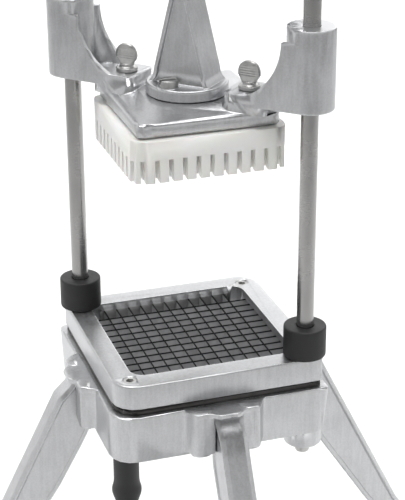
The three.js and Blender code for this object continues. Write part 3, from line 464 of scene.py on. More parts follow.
def declare(made, slot, nodes, look=None):
    """Gives a finished piece its finish and its body, and hides the nodes that it stands for."""
    made.data.materials.clear()
    made.data.materials.append(finish(look or slot))
    made.data.polygons.foreach_set("use_smooth", [True] * len(made.data.polygons))
    made.data.set_sharp_from_angle(angle=SHARP_ANGLE)
    normals = made.modifiers.new("normals", "WEIGHTED_NORMAL")
    normals.keep_sharp = True
    normals.mode = "FACE_AREA_WITH_ANGLE"
    normals.weight = 90
    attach(made, NODES[nodes[0]]["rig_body"])
    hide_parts(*nodes)


def piece(node, ending, shape, slot, look=None):
    """A finished piece that stands for one node."""
    declare(new_object(node + ending, shape), slot, [node], look)


def span(node, origin, axis=UP):
    """How far a node reaches along an axis from an origin, and its largest radius about it."""
    offsets = [vertex.co - origin for vertex in NODES[node].data.vertices]
    along = [offset.dot(axis) for offset in offsets]
    across = [(offset - axis * reach).length for offset, reach in zip(offsets, along)]
    return min(along), max(along), max(across)


def middle(node):
    """The middle of a node's box."""
    low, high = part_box(node)
    return (low + high) / 2


def upright(node):
    """Where a standing node's axis meets the ground plane."""
    centre = middle(node)
    return Vector((centre.x, centre.y, 0))


def standing_node(node, axis=UP):
    """A standing node's axis foot, its two ends along the axis and its radius."""
    origin = upright(node)
    return (origin, *span(node, origin, axis))


def standing(origin, axis=UP):
    """The placing matrix of a piece that is turned about the given axis through the origin."""
    turn = UP.rotation_difference(axis).to_matrix().to_4x4()
    return Matrix.Translation(origin) @ turn


def quarter_turn(count):
    """A number of quarter turns about the upright axis."""
    return Matrix.Rotation(count * math.pi / 2, 4, "Z")


def arc(x, y, radius, start, turn, steps):
    """Points of an arc about a centre."""
    angles = [start + turn * step / steps for step in range(steps + 1)]
    return [(x + radius * math.cos(angle), y + radius * math.sin(angle)) for angle in angles]


def hexagon(angle, flats):
    """Distance from the axis to a hexagon's side at an angle."""
    sixth = FULL_TURN / 6
    return flats / 2 / math.cos((angle + sixth / 2) % sixth - sixth / 2)


def rounded(profile, steps=4):
    """The profile with a curve in place of each point whose third number, its fillet, isn't zero."""
    points = []
    for index, (radius, height, fillet, *rest) in enumerate(profile):
        here = Vector((radius, height))
        if not fillet or index in (0, len(profile) - 1):
            points.append((here, *rest))
            continue
        before = Vector(profile[index - 1][:2]) - here
        after = Vector(profile[index + 1][:2]) - here
        start = before.normalized() * min(fillet, before.length / 2)
        end = after.normalized() * min(fillet, after.length / 2)
        for step in range(steps + 1):
            share = step / steps
            bend = start * (1 - share) ** 2 + end * share**2
            points.append((here + bend, *rest))
    return points


def turned(profile, place=Matrix(), sides=64):
    """A closed round piece. A point is radius, height, fillet and, for a hexagon, its width across."""
    shape = bmesh.new()
    rings = []
    for point, *rest in rounded(profile):
        flats = rest[0] if rest else 0
        if point.x < MERGE:
            rings.append([shape.verts.new((0, 0, point.y))])
            continue
        ring = []
        for side in range(sides):
            angle = FULL_TURN * side / sides
            reach = min(point.x, hexagon(angle, flats)) if flats else point.x
            ring.append(shape.verts.new((reach * math.cos(angle), reach * math.sin(angle), point.y)))
        rings.append(ring)
    pairs = list(zip(rings, rings[1:]))
    if len(rings[0]) > 1:
        pairs.append((rings[-1], rings[0]))
    for lower, upper in pairs:
        for side in range(sides):
            following = (side + 1) % sides
            corners = [lower[side % len(lower)], lower[following % len(lower)]]
            corners += [upper[following % len(upper)], upper[side % len(upper)]]
            unique = list(dict.fromkeys(corners))
            if len(unique) > 2:
                shape.faces.new(unique)
    bmesh.ops.recalc_face_normals(shape, faces=shape.faces)
    bmesh.ops.transform(shape, matrix=place, verts=shape.verts)
    return shape


def merged(node):
    """A copy of a node's mesh with its vertices joined."""
    shape = bmesh.new()
    shape.from_mesh(NODES[node].data)
    bmesh.ops.remove_doubles(shape, verts=shape.verts, dist=MERGE)
    return shape


def smooth_step(value, start, end):
    """From 0 to 1 in a soft S between start and end."""
    share = min(1.0, max(0.0, (value - start) / (end - start)))
    return share * share * (3 - 2 * share)


def triangulate(shape, sides=3):
    """Cuts the faces that have more sides into triangles."""
    bmesh.ops.triangulate(shape, faces=[face for face in shape.faces if len(face.verts) > sides])


def loft(shape, rings, place=Matrix()):
    """Adds a closed body through rings of points to a shape."""
    part = bmesh.new()
    rings = [[part.verts.new(point) for point in ring] for ring in rings]
    for lower, upper in zip(rings, rings[1:]):
        for index in range(len(lower)):
            following = (index + 1) % len(lower)
            part.faces.new((lower[index], lower[following], upper[following], upper[index]))
    part.faces.new(list(reversed(rings[0])))
    part.faces.new(rings[-1])
    triangulate(part, 4)
    bmesh.ops.recalc_face_normals(part, faces=part.faces)
    bmesh.ops.transform(part, matrix=place, verts=part.verts)
    absorb(shape, part)


def absorb(shape, part):
    """Moves a part's mesh into a shape."""
    mesh = bpy.data.meshes.new("part")
    part.to_mesh(mesh)
    part.free()
    shape.from_mesh(mesh)
    bpy.data.meshes.remove(mesh)


def at_rods(shape, profile):
    """Adds a turned part round both rods."""
    for count in (0, 2):
        absorb(shape, turned(profile, quarter_turn(count) @ standing(upright("guide_rod_right"))))


def inset(outline, distance, sharpest=0.4):
    """An anticlockwise outline of 2-D points moved inwards, less so at corners past the sharpest."""
    moved = []
    for index, point in enumerate(outline):
        before = (point - outline[index - 1]).normalized()
        after = (outline[(index + 1) % len(outline)] - point).normalized()
        normal = Vector((-before.y - after.y, before.x + after.x)).normalized()
        moved.append(point + normal * distance / max(sharpest, normal.dot(Vector((-after.y, after.x)))))
    return moved


def upright_prism(shape, outline, low, high, edge, place, steps=3):
    """Adds a prism whose upper and lower edges are rounded to a shape."""
    levels = []
    for step in range(steps + 1):
        turn = math.pi / 2 * step / steps
        levels.append((edge * (1 - math.sin(turn)), low + edge * (1 - math.cos(turn))))
    levels += [(margin, high + low - height) for margin, height in reversed(levels)]
    loft(shape, [[(*point, height) for point in inset(outline, margin)] for margin, height in levels], place)


def square_corners(shape, half, radius, sharper, chamfer, levels, signs, on_arc_share=0.955):
    """Draws the upright corners of a square casting out to a smaller radius."""
    centre = half - radius

    def corner(vertex):
        """A vertex's place from the middle of its corner's arc, and its signs, if it lies on the arc."""
        x, y, z = vertex.co
        sides = (math.copysign(1, x), math.copysign(1, y))
        across, along = abs(x) - centre, abs(y) - centre
        if sides not in signs or min(across, along) < -MERGE or not levels[0] - MERGE < z < levels[1] + MERGE:
            return None
        reach = math.hypot(across, along)
        return (across, along, *sides) if reach > radius * on_arc_share - chamfer else None

    edges = [
        edge
        for edge in shape.edges
        if all(corner(vertex) for vertex in edge.verts)
        and abs(edge.verts[0].co.z - edge.verts[1].co.z) < MERGE
    ]
    bmesh.ops.subdivide_edges(shape, edges=edges, cuts=3)
    triangulate(shape)
    inner = radius - sharper
    for vertex in shape.verts:
        found = corner(vertex)
        if not found:
            continue
        across, along, side, end = found
        angle = math.atan2(max(along, 0), max(across, 0))
        if math.tan(min(angle, math.pi / 2 - angle)) * radius < inner:
            reach = radius / max(math.cos(angle), math.sin(angle))
        else:
            chord = inner * (math.cos(angle) + math.sin(angle))
            reach = chord + math.sqrt(max(0, chord**2 - 2 * inner**2 + sharper**2))
        if min(abs(vertex.co.z - level) for level in levels) < MERGE:
            reach -= chamfer
        vertex.co.x = side * (centre + reach * math.cos(angle))
        vertex.co.y = end * (centre + reach * math.sin(angle))


# Profiles of round pieces: points of radius, height and fillet


def tube(bore, radius, low, high, lower, upper=None, inner=0):
    """A tube or washer, with the fillets of its outer edges and of its upper inner one."""
    upper = lower if upper is None else upper
    return [(bore, low, 0), (radius, low, lower), (radius, high, upper), (bore, high, inner)]


def hexagon_part(radius, low, high, flats, edge):
    """Part of a profile: a hexagon with a round chamfer at both ends."""
    face, chamfer = flats / 2 - edge, edge * 2
    sides = [(radius, low + chamfer, 0, flats), (radius, high - chamfer, 0, flats)]
    return [(face, low, 0), *sides, (face, high, 0)]


def socket_screw(tip, top, radius, shank, head, socket, depth, edge):
    """A screw whose round head has a hexagon socket."""
    seat, flats = top - head, socket * SOCKET_FLATS
    return [
        (0, tip, 0), (shank, tip, edge), (shank, seat, 0), (radius, seat, edge), (radius, top, edge * 1.6),
        (socket, top, 0, flats), (socket, top - depth, 0, flats), (0, top - depth * 1.25, 0),
    ]


def hexagon_screw(tip, top, radius, shank, head, edge):
    """A screw whose hexagon head has a round chamfer."""
    seat, flats = top - head, radius * math.sqrt(3)
    upper = hexagon_part(radius, seat, top, flats, edge)[2:]
    return [(0, tip, 0), (shank, tip, edge), (shank, seat, 0), (radius, seat, 0, flats), *upper, (0, top, 0)]


# Repeats made with geometry nodes


class Grower(NodeTree):
    """A geometry node tree with named inputs."""

    def __init__(self, name, **numbers):
        super().__init__(bpy.data.node_groups.new(name, "GeometryNodeTree"))
        self.numbers = numbers
        self.socket("Geometry", "Geometry", "OUTPUT")
        self.socket("Geometry", "Geometry")
        for key, value in numbers.items():
            self.socket(key, "Int" if isinstance(value, int) else "Float")
        self.socket("Finish", "Material")
        self.source = self.tree.nodes.new("NodeGroupInput")

    def socket(self, name, kind, in_out="INPUT"):
        """Adds a named input or output."""
        self.tree.interface.new_socket(name, in_out=in_out, socket_type="NodeSocket" + kind)

    def given(self, name):
        """The wire of a named input."""
        return Wire(self, self.source.outputs[name])

    def shift(self, **parts):
        """A vector from wires."""
        return self.node("ShaderNodeCombineXYZ", None, parts)

    def copies(self, line, **sockets):
        """The object on each point of a line."""
        points = self.node("GeometryNodeMeshLine", {"mode": "OFFSET"}, {"Count": self.given("Count"), **line})
        sockets = {"Points": points, "Instance": self.given("Geometry"), **sockets}
        return self.node("GeometryNodeInstanceOnPoints", None, sockets)

    def grow(self, name, shape, slot, nodes, geometry):
        real = self.node("GeometryNodeRealizeInstances", None, {"Geometry": geometry})
        sockets = {"Geometry": real, "Material": self.given("Finish")}
        painted = self.node("GeometryNodeSetMaterial", None, sockets)
        self.feed(self.tree.nodes.new("NodeGroupOutput").inputs["Geometry"], painted)
        made = new_object(name, shape)
        modifier = made.modifiers.new(self.tree.name, "NODES")
        modifier.node_group = self.tree
        values = {"Finish": finish(slot), **self.numbers}
        for item in self.tree.interface.items_tree:
            if item.name in values:
                modifier[item.identifier] = values[item.name]
        evaluated = made.evaluated_get(bpy.context.evaluated_depsgraph_get())
        mesh = bpy.data.meshes.new_from_object(evaluated)
        made.modifiers.clear()
        made.data = mesh
        declare(made, slot, nodes)


def copies_round(name, shape, slot, nodes):
    """A shape repeated evenly about the object's upright axis, once for each node, as one piece."""
    grower = Grower(name + "_copies", Count=len(nodes), Turn=FULL_TURN / len(nodes))
    turn = grower.node("GeometryNodeInputIndex") * grower.given("Turn")
    copies = grower.copies({"Offset": (0, 0, 0)}, Rotation=grower.shift(Z=turn))
    grower.grow(name, shape, slot, nodes, copies)


def crossed_strips(name, shape, count, pitch, step, slot, nodes):
    """Strips side by side, crossed by as many that lie a little lower, as one piece."""
    grower = Grower(name + "_copies", Count=count, Pitch=pitch, Start=-pitch * (count - 1) / 2, Step=-step)
    start, offset = [grower.shift(X=grower.given(key)) for key in ("Start", "Pitch")]
    layer = grower.copies({"Start Location": start, "Offset": offset})
    down, quarter = grower.shift(Z=grower.given("Step")), (0, 0, FULL_TURN / 4)
    sockets = {"Geometry": layer, "Translation": down, "Rotation": quarter}
    crossing = grower.node("GeometryNodeTransform", None, sockets)
    joined = grower.node("GeometryNodeJoinGeometry", None, {"Geometry": [layer, crossing]})
    grower.grow(name, shape, slot, nodes, joined)


# Operators


class CutterOperator:
    """What all operators share: undo, and a build step that is given the sizes."""

    bl_options = {"REGISTER", "UNDO"}

    def execute(self, context):
        self.build(context.scene.cutter_sizes)
        return {"FINISHED"}


class CUTTER_OT_body(CutterOperator, bpy.types.Operator):
    """Base body with wavy pads round the legs"""

    bl_idname = "cutter.body"
    bl_label = "Body"

    wall_step = 0.0034
    corner = 0.0125
    chamfer = 0.001
    boss = 0.0135
    boss_edge = 0.0025
    pad_edge_share = 0.8
    lobe_edge = 0.003
    root = 0.003
    hidden = 0.0004
    ledge_run = 0.0055
    ledge_rise = 0.00005

    def build(self, sizes):
        shape = merged("base_body")
        lowest, top = [end.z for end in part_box("base_body")]
        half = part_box("clamp_ring")[1].x + self.wall_step
        walls = [v.co for v in shape.verts if abs(abs(v.co.y) - half) < MERGE and abs(v.co.x) < half / 2]
        bottom = min(place.z for place in walls)
        levels = (bottom - MERGE, top)
        square_corners(shape, half, self.corner, sizes.corner_radius, self.chamfer, levels, ROD_CORNERS)
        bore, edge = sizes.screw_shank / 2, sizes.cast_edge * self.pad_edge_share
        at_rods(shape, tube(bore, self.boss, lowest - MERGE, bottom + SINK, self.boss_edge, 0))
        for count in range(4):
            place = quarter_turn(count)
            for side in (1, -1):
                upright_prism(shape, self.lobe(sizes, half, side), bottom + SINK, top, edge, place)
            ledge = self.ledge(sizes, half)
            upright_prism(shape, ledge, top - sizes.ledge_height, top + self.ledge_rise, edge, place)
        piece("base_body", "_cast", shape, "cast_aluminium")

    def fall(self, sizes, along, depth):
        """Depth of a lobe's outer flank, which runs out into the wall."""
        left = 1 - smooth_step(along, sizes.lobe_crest, sizes.lobe_end)
        return (depth + self.hidden) * left - self.hidden

    def lobe(self, sizes, half, side):
        """Outline of a lobe beside the leg."""
        depth, start, edge, steps = sizes.lobe_depth, sizes.lobe_start, self.lobe_edge, 16
        run = sizes.lobe_end - sizes.lobe_crest
        flank = [sizes.lobe_crest + run * step / steps for step in range(steps + 1)]
        points = [
            (half - self.root, start),
            *arc(half + depth - edge, start + edge, edge, -math.pi / 2, math.pi / 2, 6),
            *[(half + self.fall(sizes, along, depth), along) for along in flank],
            (half - self.root, sizes.lobe_end),
        ]
        return [Vector((x, y * side)) for x, y in points][::side]

    def ledge(self, sizes, half):
        """Outline of the ledge over a leg and its two lobes."""
        steps, end, root = 72, sizes.lobe_end, half - self.root
        depth = sizes.lobe_depth + self.hidden / 4
        points = []
        for step in range(steps + 1):
            place = end * (2 * step / steps - 1)
            along = abs(place)
            rise = 1 - smooth_step(along, sizes.ledge_crest, sizes.lobe_start + self.ledge_run)
            reach = self.fall(sizes, along, depth) + (sizes.ledge_depth - depth) * rise
            points.append(Vector((half + reach, place)))
        return [Vector((root, -end)), *points, Vector((root, end))]


class CUTTER_OT_ring(CutterOperator, bpy.types.Operator):
    """Clamp ring, and the frame under the blades"""

    bl_idname = "cutter.ring"
    bl_label = "Clamp ring"

    corner = 0.012
    chamfer = 0.0012
    frame_inset = 0.0009

    def build(self, sizes):
        for node, ending, radius, chamfer, *slots in (
            ("clamp_ring", "_cast", self.corner, self.chamfer, "cast_aluminium"),
            ("blade_frame", "_plate", self.corner - self.frame_inset, 0, "blade_steel", "dark_steel"),
        ):
            shape = merged(node)
            low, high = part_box(node)
            square_corners(shape, high.x, radius, sizes.corner_radius, chamfer, (low.z, high.z), ROD_CORNERS)
            piece(node, ending, shape, *slots)


class CUTTER_OT_head(CutterOperator, bpy.types.Operator):
    """Head casting with sloped skirts round its arms' ends"""

    bl_idname = "cutter.head"
    bl_label = "Head casting"

    corner = 0.012
    chamfer = 0.002
    plate_rise = 0.0102
    boss_rise = 0.005
    bore = 0.0062
    tongue_reach = 0.034
    tongue_end = 0.052
    tongue_half = 0.0165
    tongue_corner = 0.006
    skirt_height = 0.0094
    skirt_shares = (0, 0.08, 0.2, 0.36, 0.55, 0.78, 1)
    hidden = 0.0002
    web_centre = Vector((0.03366, 0.509))
    web_radius = 0.04334
    web_place = 0.0145
    web_half = 0.0021
    web_step = 0.002
    web_longest = 0.016
    on_web = 0.00005
    near_web = 0.0008

    def build(self, sizes):
        shape = merged("head_casting")
        low, high = [end.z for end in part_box("head_casting")]
        rim = low + self.plate_rise
        half = max(abs(v.co.x) for v in shape.verts if v.co.z < low + self.chamfer + MERGE)
        square_corners(shape, half, self.corner, sizes.corner_radius, self.chamfer, (low, rim), ALL_CORNERS)
        self.smooth_webs(shape)
        foot, edge = rim + self.boss_rise, sizes.cast_edge
        profile = tube(self.bore, self.tongue_half + SKIN, foot - SKIN, high + SKIN, edge, edge * 2, edge)
        for count in (0, 2):
            place = quarter_turn(count)
            absorb(shape, turned(profile, place @ standing(upright("guide_rod_right"))))
            self.skirt(shape, sizes, rim, place @ CROSS)
        piece("head_casting", "_cast", shape, "cast_aluminium")

    def smooth_webs(self, shape):
        """Finer steps along the hollow curve of the arms' webs."""

        def from_centre(vertex):
            """Offset from the curve's centre, the arm's side and the place across the arm."""
            local = CROSS.inverted() @ vertex.co
            return Vector((abs(local.x), local.z)) - self.web_centre, math.copysign(1, local.x), local.y

        def on_curve(vertex):
            offset, _, across = from_centre(vertex)
            near = abs(offset.length - self.web_radius) < self.on_web
            return near and abs(abs(across) - self.web_place) < self.web_half

        edges = [
            edge
            for edge in shape.edges
            if all(on_curve(vertex) for vertex in edge.verts)
            and abs(edge.verts[0].co.z - edge.verts[1].co.z) > self.web_step
            and edge.calc_length() < self.web_longest
        ]
        made = bmesh.ops.subdivide_edges(shape, edges=edges, cuts=4)
        for vertex in made["geom_inner"]:
            if isinstance(vertex, bmesh.types.BMVert):
                offset, side, across = from_centre(vertex)
                if abs(offset.length - self.web_radius) < self.near_web:
                    moved = self.web_centre + offset.normalized() * self.web_radius
                    vertex.co = CROSS @ Vector((side * moved.x, across, moved.y))
        triangulate(shape)

    def skirt(self, shape, sizes, rim, place):
        """A slope from the end of an arm down to the plate."""
        rings = []
        for share in self.skirt_shares:
            spread = sizes.skirt_spread * (1 - share) ** 2 - self.hidden * 2
            height = rim - self.hidden + self.skirt_height * share
            rings.append([(*point, height) for point in self.tongue(spread)])
        loft(shape, rings, place)

    def tongue(self, spread):
        """Outline of an arm's end, grown by a spread that fades out along its sides."""
        radius, inner = self.tongue_corner + spread, self.tongue_half - self.hidden * 3
        x, y = self.tongue_reach - spread + radius, self.tongue_half + spread - radius
        return [
            (self.tongue_end, -inner), (self.tongue_end, inner),
            *arc(x, y, radius, math.pi / 2, math.pi / 2, 12), *arc(x, -y, radius, math.pi, math.pi / 2, 12),
        ]


class CUTTER_OT_tower(CutterOperator, bpy.types.Operator):
    """Tower on its round foot, with a panel on both faces and an eye for the lever's pin"""

    bl_idname = "cutter.tower"
    bl_label = "Tower"

    disc = 0.0285
    disc_height = 0.0082
    disc_edge_share = 2.4
    sunk = 0.0005
    foot_half = 0.023
    foot_spread = 0.002
    panel_spread = 0.003
    panel_end = 0.018
    panel_slope = 0.012
    edge = 0.0006
    eye = 0.013
    flare_power = 2.2
    flare_shares = (0, 0.1, 0.25, 0.45, 0.7, 1)
    above_flare = 0.008
    seat = 0.0078
    seat_rise = 0.0003
    seat_edge = 0.0002

    def build(self, sizes):
        low, high = [end.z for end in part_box("tower")]
        top, pin, edge = low + self.disc_height, high - self.eye, sizes.cast_edge
        flare, taper, reach = sizes.tower_flare, sizes.tower_taper, pin - top
        shape = turned([
            (0, low, 0), (self.disc - edge, low, 0), (self.disc, low + edge, 0),
            (self.disc, top, edge * self.disc_edge_share), (0, top, 0),
        ])
        heights = [share * flare for share in self.flare_shares]
        heights += [flare + self.above_flare, taper / 2, taper, reach - self.panel_end, reach]
        foot = top - self.sunk
        rings = []
        for height in heights:
            rings.append([(*point, foot + height) for point in self.section(sizes, height, reach)])
        loft(shape, rings, CROSS)
        seat = tube(0, self.seat, top - SINK, top + self.seat_rise, 0, self.seat_edge)
        for side in (1, -1):
            bolt = middle("tower_bolt_front") * side
            absorb(shape, turned(seat, standing(Vector((bolt.x, bolt.y, 0))), 32))
        bore, half = (sizes.pin_diameter + sizes.washer_bore) / 2, sizes.tower_top / 2
        place = standing(Vector((0, 0, pin)), PIN_AXIS)
        absorb(shape, turned(tube(bore, self.eye, -half, half, edge), place))
        piece("tower", "_cast", shape, "cast_aluminium")

    def section(self, sizes, height, reach):
        """Outline of the tower at a height over its foot."""
        share = min(1.0, max(0.0, (height - sizes.tower_flare) / (sizes.tower_taper - sizes.tower_flare)))
        flare = max(0.0, 1 - height / sizes.tower_flare) ** self.flare_power
        half = (sizes.tower_foot + (sizes.tower_top - sizes.tower_foot) * share) / 2
        half += (self.foot_half - sizes.tower_foot / 2) * flare
        depth, edge = sizes.tower_depth / 2, self.edge
        front = depth + self.foot_spread * flare
        panel = sizes.tower_panel * smooth_step(reach - self.panel_end - height, 0, self.panel_slope)
        floor = depth - panel + self.panel_spread * flare
        rim = half - sizes.tower_rim - edge * flare
        quarter = [
            (half, -front + edge), (half, front - edge), (half - edge, front), (rim, front),
            (rim - edge, floor),
        ]
        front_part = quarter[1:] + [(-x, y) for x, y in reversed(quarter)][:-1]
        return front_part + [(-x, -y) for x, y in front_part]


class CUTTER_OT_yoke(CutterOperator, bpy.types.Operator):
    """Top yoke with its round bosses"""

    bl_idname = "cutter.yoke"
    bl_label = "Top yoke"

    boss = 0.015
    edge_share = 1.4

    def build(self, sizes):
        shape = merged("top_yoke")
        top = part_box("rod_washer_right")[0].z - SEAT_GAP
        low = top - sizes.yoke_height + SEAT_GAP * 2
        bore = (sizes.stud_diameter + sizes.washer_bore) / 2
        edge = sizes.cast_edge * self.edge_share
        at_rods(shape, tube(bore, self.boss + SKIN, low - SKIN, top + SKIN, edge))
        piece("top_yoke", "_cast", shape, "cast_aluminium")


class CUTTER_OT_legs(CutterOperator, bpy.types.Operator):
    """Splayed legs: a flat outer face with sloped shoulders on a narrower web"""

    bl_idname = "cutter.legs"
    bl_label = "Legs"

    reach = 0.1187
    spigot = 0.007
    spigot_edge = 0.001
    spigot_rise = 0.004

    # Outer and inner edge of a leg seen from its side, as shares of its reach and of its fall
    outer_shares = (
        (0.0775, 0), (0.1, 0.008), (0.1154, 0.0243), (0.138, 0.0365), (0.188, 0.067), (0.245, 0.139),
        (0.275, 0.177), (0.32, 0.234), (0.434, 0.377), (0.7, 0.714), (0.773, 0.806), (0.8865, 0.903),
        (1, 1),
    )
    inner_shares = (
        (0, 0), (0, 0.008), (0, 0.035), (0, 0.08), (0, 0.135), (0, 0.185), (0.004, 0.22), (0.05, 0.278),
        (0.194, 0.442), (0.534, 0.771), (0.608, 0.828), (0.72, 0.914), (0.8315, 1),
    )

    # Half of the section, a flat strip, a sloped shoulder, a lip, the web and a bead on the inner edge: share
    # of the depth and distance past it, then the width that the point follows and distance past its half
    half_section = (
        (0, 0, "leg_flat", 0), (0, 0.0003, "leg_flat", 0.0006), (0, 0.0016, "leg_width", -0.0007),
        (0, 0.0023, "leg_width", 0), (0, 0.0031, "leg_width", 0), (0, 0.0037, "leg_width", -0.0006),
        (0, 0.0041, "leg_web", 0.0006), (0, 0.0048, "leg_web", 0), (0.46, 0, "leg_web", 0),
        (0.54, 0, "leg_web", 0.0005), (1, -0.0042, "leg_web", 0.0005), (1, -0.0032, "leg_web", 0.0014),
        (1, -0.0012, "leg_web", 0.0014), (1, 0, "leg_web", 0),
    )

    def build(self, sizes):
        low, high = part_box("leg_right")
        root, top = low.x, high.z
        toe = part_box("suction_foot_right")[1].z + SEAT_GAP
        fall = top - toe
        rings = []
        for ends in zip(self.outer_shares, self.inner_shares):
            points = [Vector((root + along * self.reach, 0, top - down * fall)) for along, down in ends]
            rings.append(self.section(sizes, *points))
        shape = bmesh.new()
        loft(shape, rings)
        spigot = tube(0, self.spigot, low.z, toe + self.spigot_rise, self.spigot_edge, 0)
        absorb(shape, turned(spigot, standing(upright("suction_foot_right")), 32))
        copies_round("splayed_legs", shape, "cast_aluminium", ["leg_" + side for side in QUARTERS])

    def section(self, sizes, outer, inner):
        """Outline of the leg between a point on its outer and one on its inner edge."""
        depth = (inner - outer).length
        inwards = (inner - outer).normalized()
        side = []
        for share, past, width, wider in self.half_section:
            side.append((share * depth + past, getattr(sizes, width) / 2 + wider))
        outline = side + [(deep, -across) for deep, across in reversed(side)]
        return [outer + inwards * deep + Vector((0, across, 0)) for deep, across in outline]


class CUTTER_OT_lever(CutterOperator, bpy.types.Operator):
    """Lever plates and handle bar"""

    bl_idname = "cutter.lever"
    bl_label = "Lever"

    def build(self, sizes):
        for side in PAIR:
            piece("lever_plate_" + side, "_cast", merged("lever_plate_" + side), "cast_aluminium")
        piece("handle_bar", "_steel", merged("handle_bar"), "polished_steel")


class CUTTER_OT_block(CutterOperator, bpy.types.Operator):
    """White block with fingers"""

    bl_idname = "cutter.block"
    bl_label = "Block"

    outer_finger = 0.0493
    growth_run = 0.001

    def build(self, sizes):
        shape = merged("pusher_block")
        for vertex in shape.verts:
            for axis in (0, 1):
                beyond = abs(vertex.co[axis]) - self.outer_finger
                growth = sizes.block_edge * min(1.0, max(0.0, beyond / self.growth_run))
                vertex.co[axis] += math.copysign(growth, vertex.co[axis])
        piece("pusher_block", "_white", shape, "white_nylon")


class CUTTER_OT_blades(CutterOperator, bpy.types.Operator):
    """Blade grid with ground edges"""

    bl_idname = "cutter.blades"
    bl_label = "Blades"

    def build(self, sizes):
        low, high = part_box("blade_grid")
        half, foot, top = sizes.blade_thickness / 2, low.z + sizes.blade_step, high.z
        shoulder = top - sizes.blade_edge
        section = [(-half, foot), (half, foot), (half, shoulder), (0, top), (-half, shoulder)]
        shape = bmesh.new()
        near, far = [[shape.verts.new((x, y, z)) for x, z in section] for y in (low.y, high.y)]
        shape.faces.new(near)
        shape.faces.new(list(reversed(far)))
        for index in range(len(section)):
            following = (index + 1) % len(section)
            shape.faces.new((near[following], near[index], far[index], far[following]))
        bmesh.ops.recalc_face_normals(shape, faces=shape.faces)
        crossed_strips(
            "blade_strips", shape, sizes.blade_count, sizes.blade_pitch, sizes.blade_step, "blade_steel",
            ["blade_grid"])


class CUTTER_OT_rods(CutterOperator, bpy.types.Operator):
    """Guide rods with their studs"""

    bl_idname = "cutter.rods"
    bl_label = "Rods"

    def build(self, sizes):
        nodes = ["guide_rod_right", "guide_rod_left"]
        origin, low, high, radius = standing_node(nodes[0])
        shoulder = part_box("rod_washer_right")[0].z - sizes.yoke_height
        stud, edge = sizes.stud_diameter / 2, sizes.turned_round
        profile = [
            (0, low, 0), (radius, low, edge), (radius, shoulder, edge), (stud, shoulder, 0),
            (stud, high, edge), (0, high, 0),
        ]
        copies_round("guide_rods", turned(profile, standing(origin)), "polished_steel", nodes)


class CUTTER_OT_bumpers(CutterOperator, bpy.types.Operator):
    """Rubber stop bumpers with a wide rim round the rod"""

    bl_idname = "cutter.bumpers"
    bl_label = "Bumpers"

    def build(self, sizes):
        nodes = ["stop_bumper_right", "stop_bumper_left"]
        origin, low, high, radius = standing_node(nodes[0])
        bore = (sizes.rod_diameter + sizes.washer_bore) / 2
        rim, edge, step = sizes.bumper_bore / 2, sizes.rubber_round, high - sizes.bumper_sink
        mouth = [(rim, high, edge / 3), (rim, step, 0), (bore, step, 0)]
        profile = tube(bore, radius, low, high, edge)[:-1] + mouth
        copies_round("stop_bumpers", turned(profile, standing(origin)), "black_rubber", nodes)


class CUTTER_OT_screws(CutterOperator, bpy.types.Operator):
    """Ring screws, tower bolts, leg screws and rod screws"""

    bl_idname = "cutter.screws"
    bl_label = "Screws"

    bolt_edge = 0.0004
    cheek_sink = 0.0003
    cheek_edges = ((0, 0.0012), (0.0003, 0.0004), (0.0011, 0))

    def build(self, sizes):
        edge, shank = sizes.turned_round, sizes.screw_shank / 2
        for name, ends, axis, head in (
            ("ring_screw", ("back", "front"), UP, sizes.screw_head),
            ("rod_screw", ("right", "left"), -UP, sizes.long_head),
        ):
            nodes = [name + "_" + end for end in ends]
            origin, low, high, radius = standing_node(nodes[0], axis)
            socket = sizes.screw_socket / math.sqrt(3)
            profile = socket_screw(low, high, radius, shank, head, socket, sizes.socket_depth, edge)
            copies_round(name + "s", turned(profile, standing(origin, axis)), "plated_steel", nodes)
        self.tower_bolts(sizes)
        nodes = ["leg_screw_" + side for side in QUARTERS]
        origin, axis = middle(nodes[0]), Vector((-1, 0, 0))
        profile = hexagon_screw(*span(nodes[0], origin, axis), shank, sizes.hex_head, edge)
        copies_round("leg_screws", turned(profile, standing(origin, axis)), "plated_steel", nodes)
        nodes = ["rod_screw_washer_right", "rod_screw_washer_left"]
        origin, low, high, radius = standing_node(nodes[0])
        profile = tube((sizes.screw_shank + sizes.washer_bore) / 2, radius, low, high, edge)
        copies_round("rod_screw_washers", turned(profile, standing(origin)), "plated_steel", nodes)

    def tower_bolts(self, sizes):
        """Two bolts with a broad straight slot over their round heads."""
        nodes = ["tower_bolt_back", "tower_bolt_front"]
        origin, low, high, radius = standing_node(nodes[0])
        shank, seat = sizes.bolt_shank / 2, high - sizes.bolt_head
        high += sizes.bolt_rise
        half, floor = sizes.bolt_slot / 2, high - sizes.slot_depth
        shape = turned([
            (0, low, 0), (shank, low, sizes.turned_round), (shank, seat, 0), (radius, seat, self.bolt_edge),
            (radius, floor, 0), (0, floor, 0),
        ], standing(origin))
        levels = [(0, floor - self.cheek_sink), *[(margin, high - drop) for margin, drop in self.cheek_edges]]
        for side in (1, -1):
            rings = []
            for margin, height in levels:
                reach = radius - margin
                start = math.asin((half + margin) / reach)
                half_round = arc(0, 0, reach, start, math.pi - 2 * start, 16)
                rings.append([(x, side * y, height) for x, y in half_round])
            loft(shape, rings, Matrix.Translation(origin))
        copies_round("tower_bolts", shape, "plated_steel", nodes)


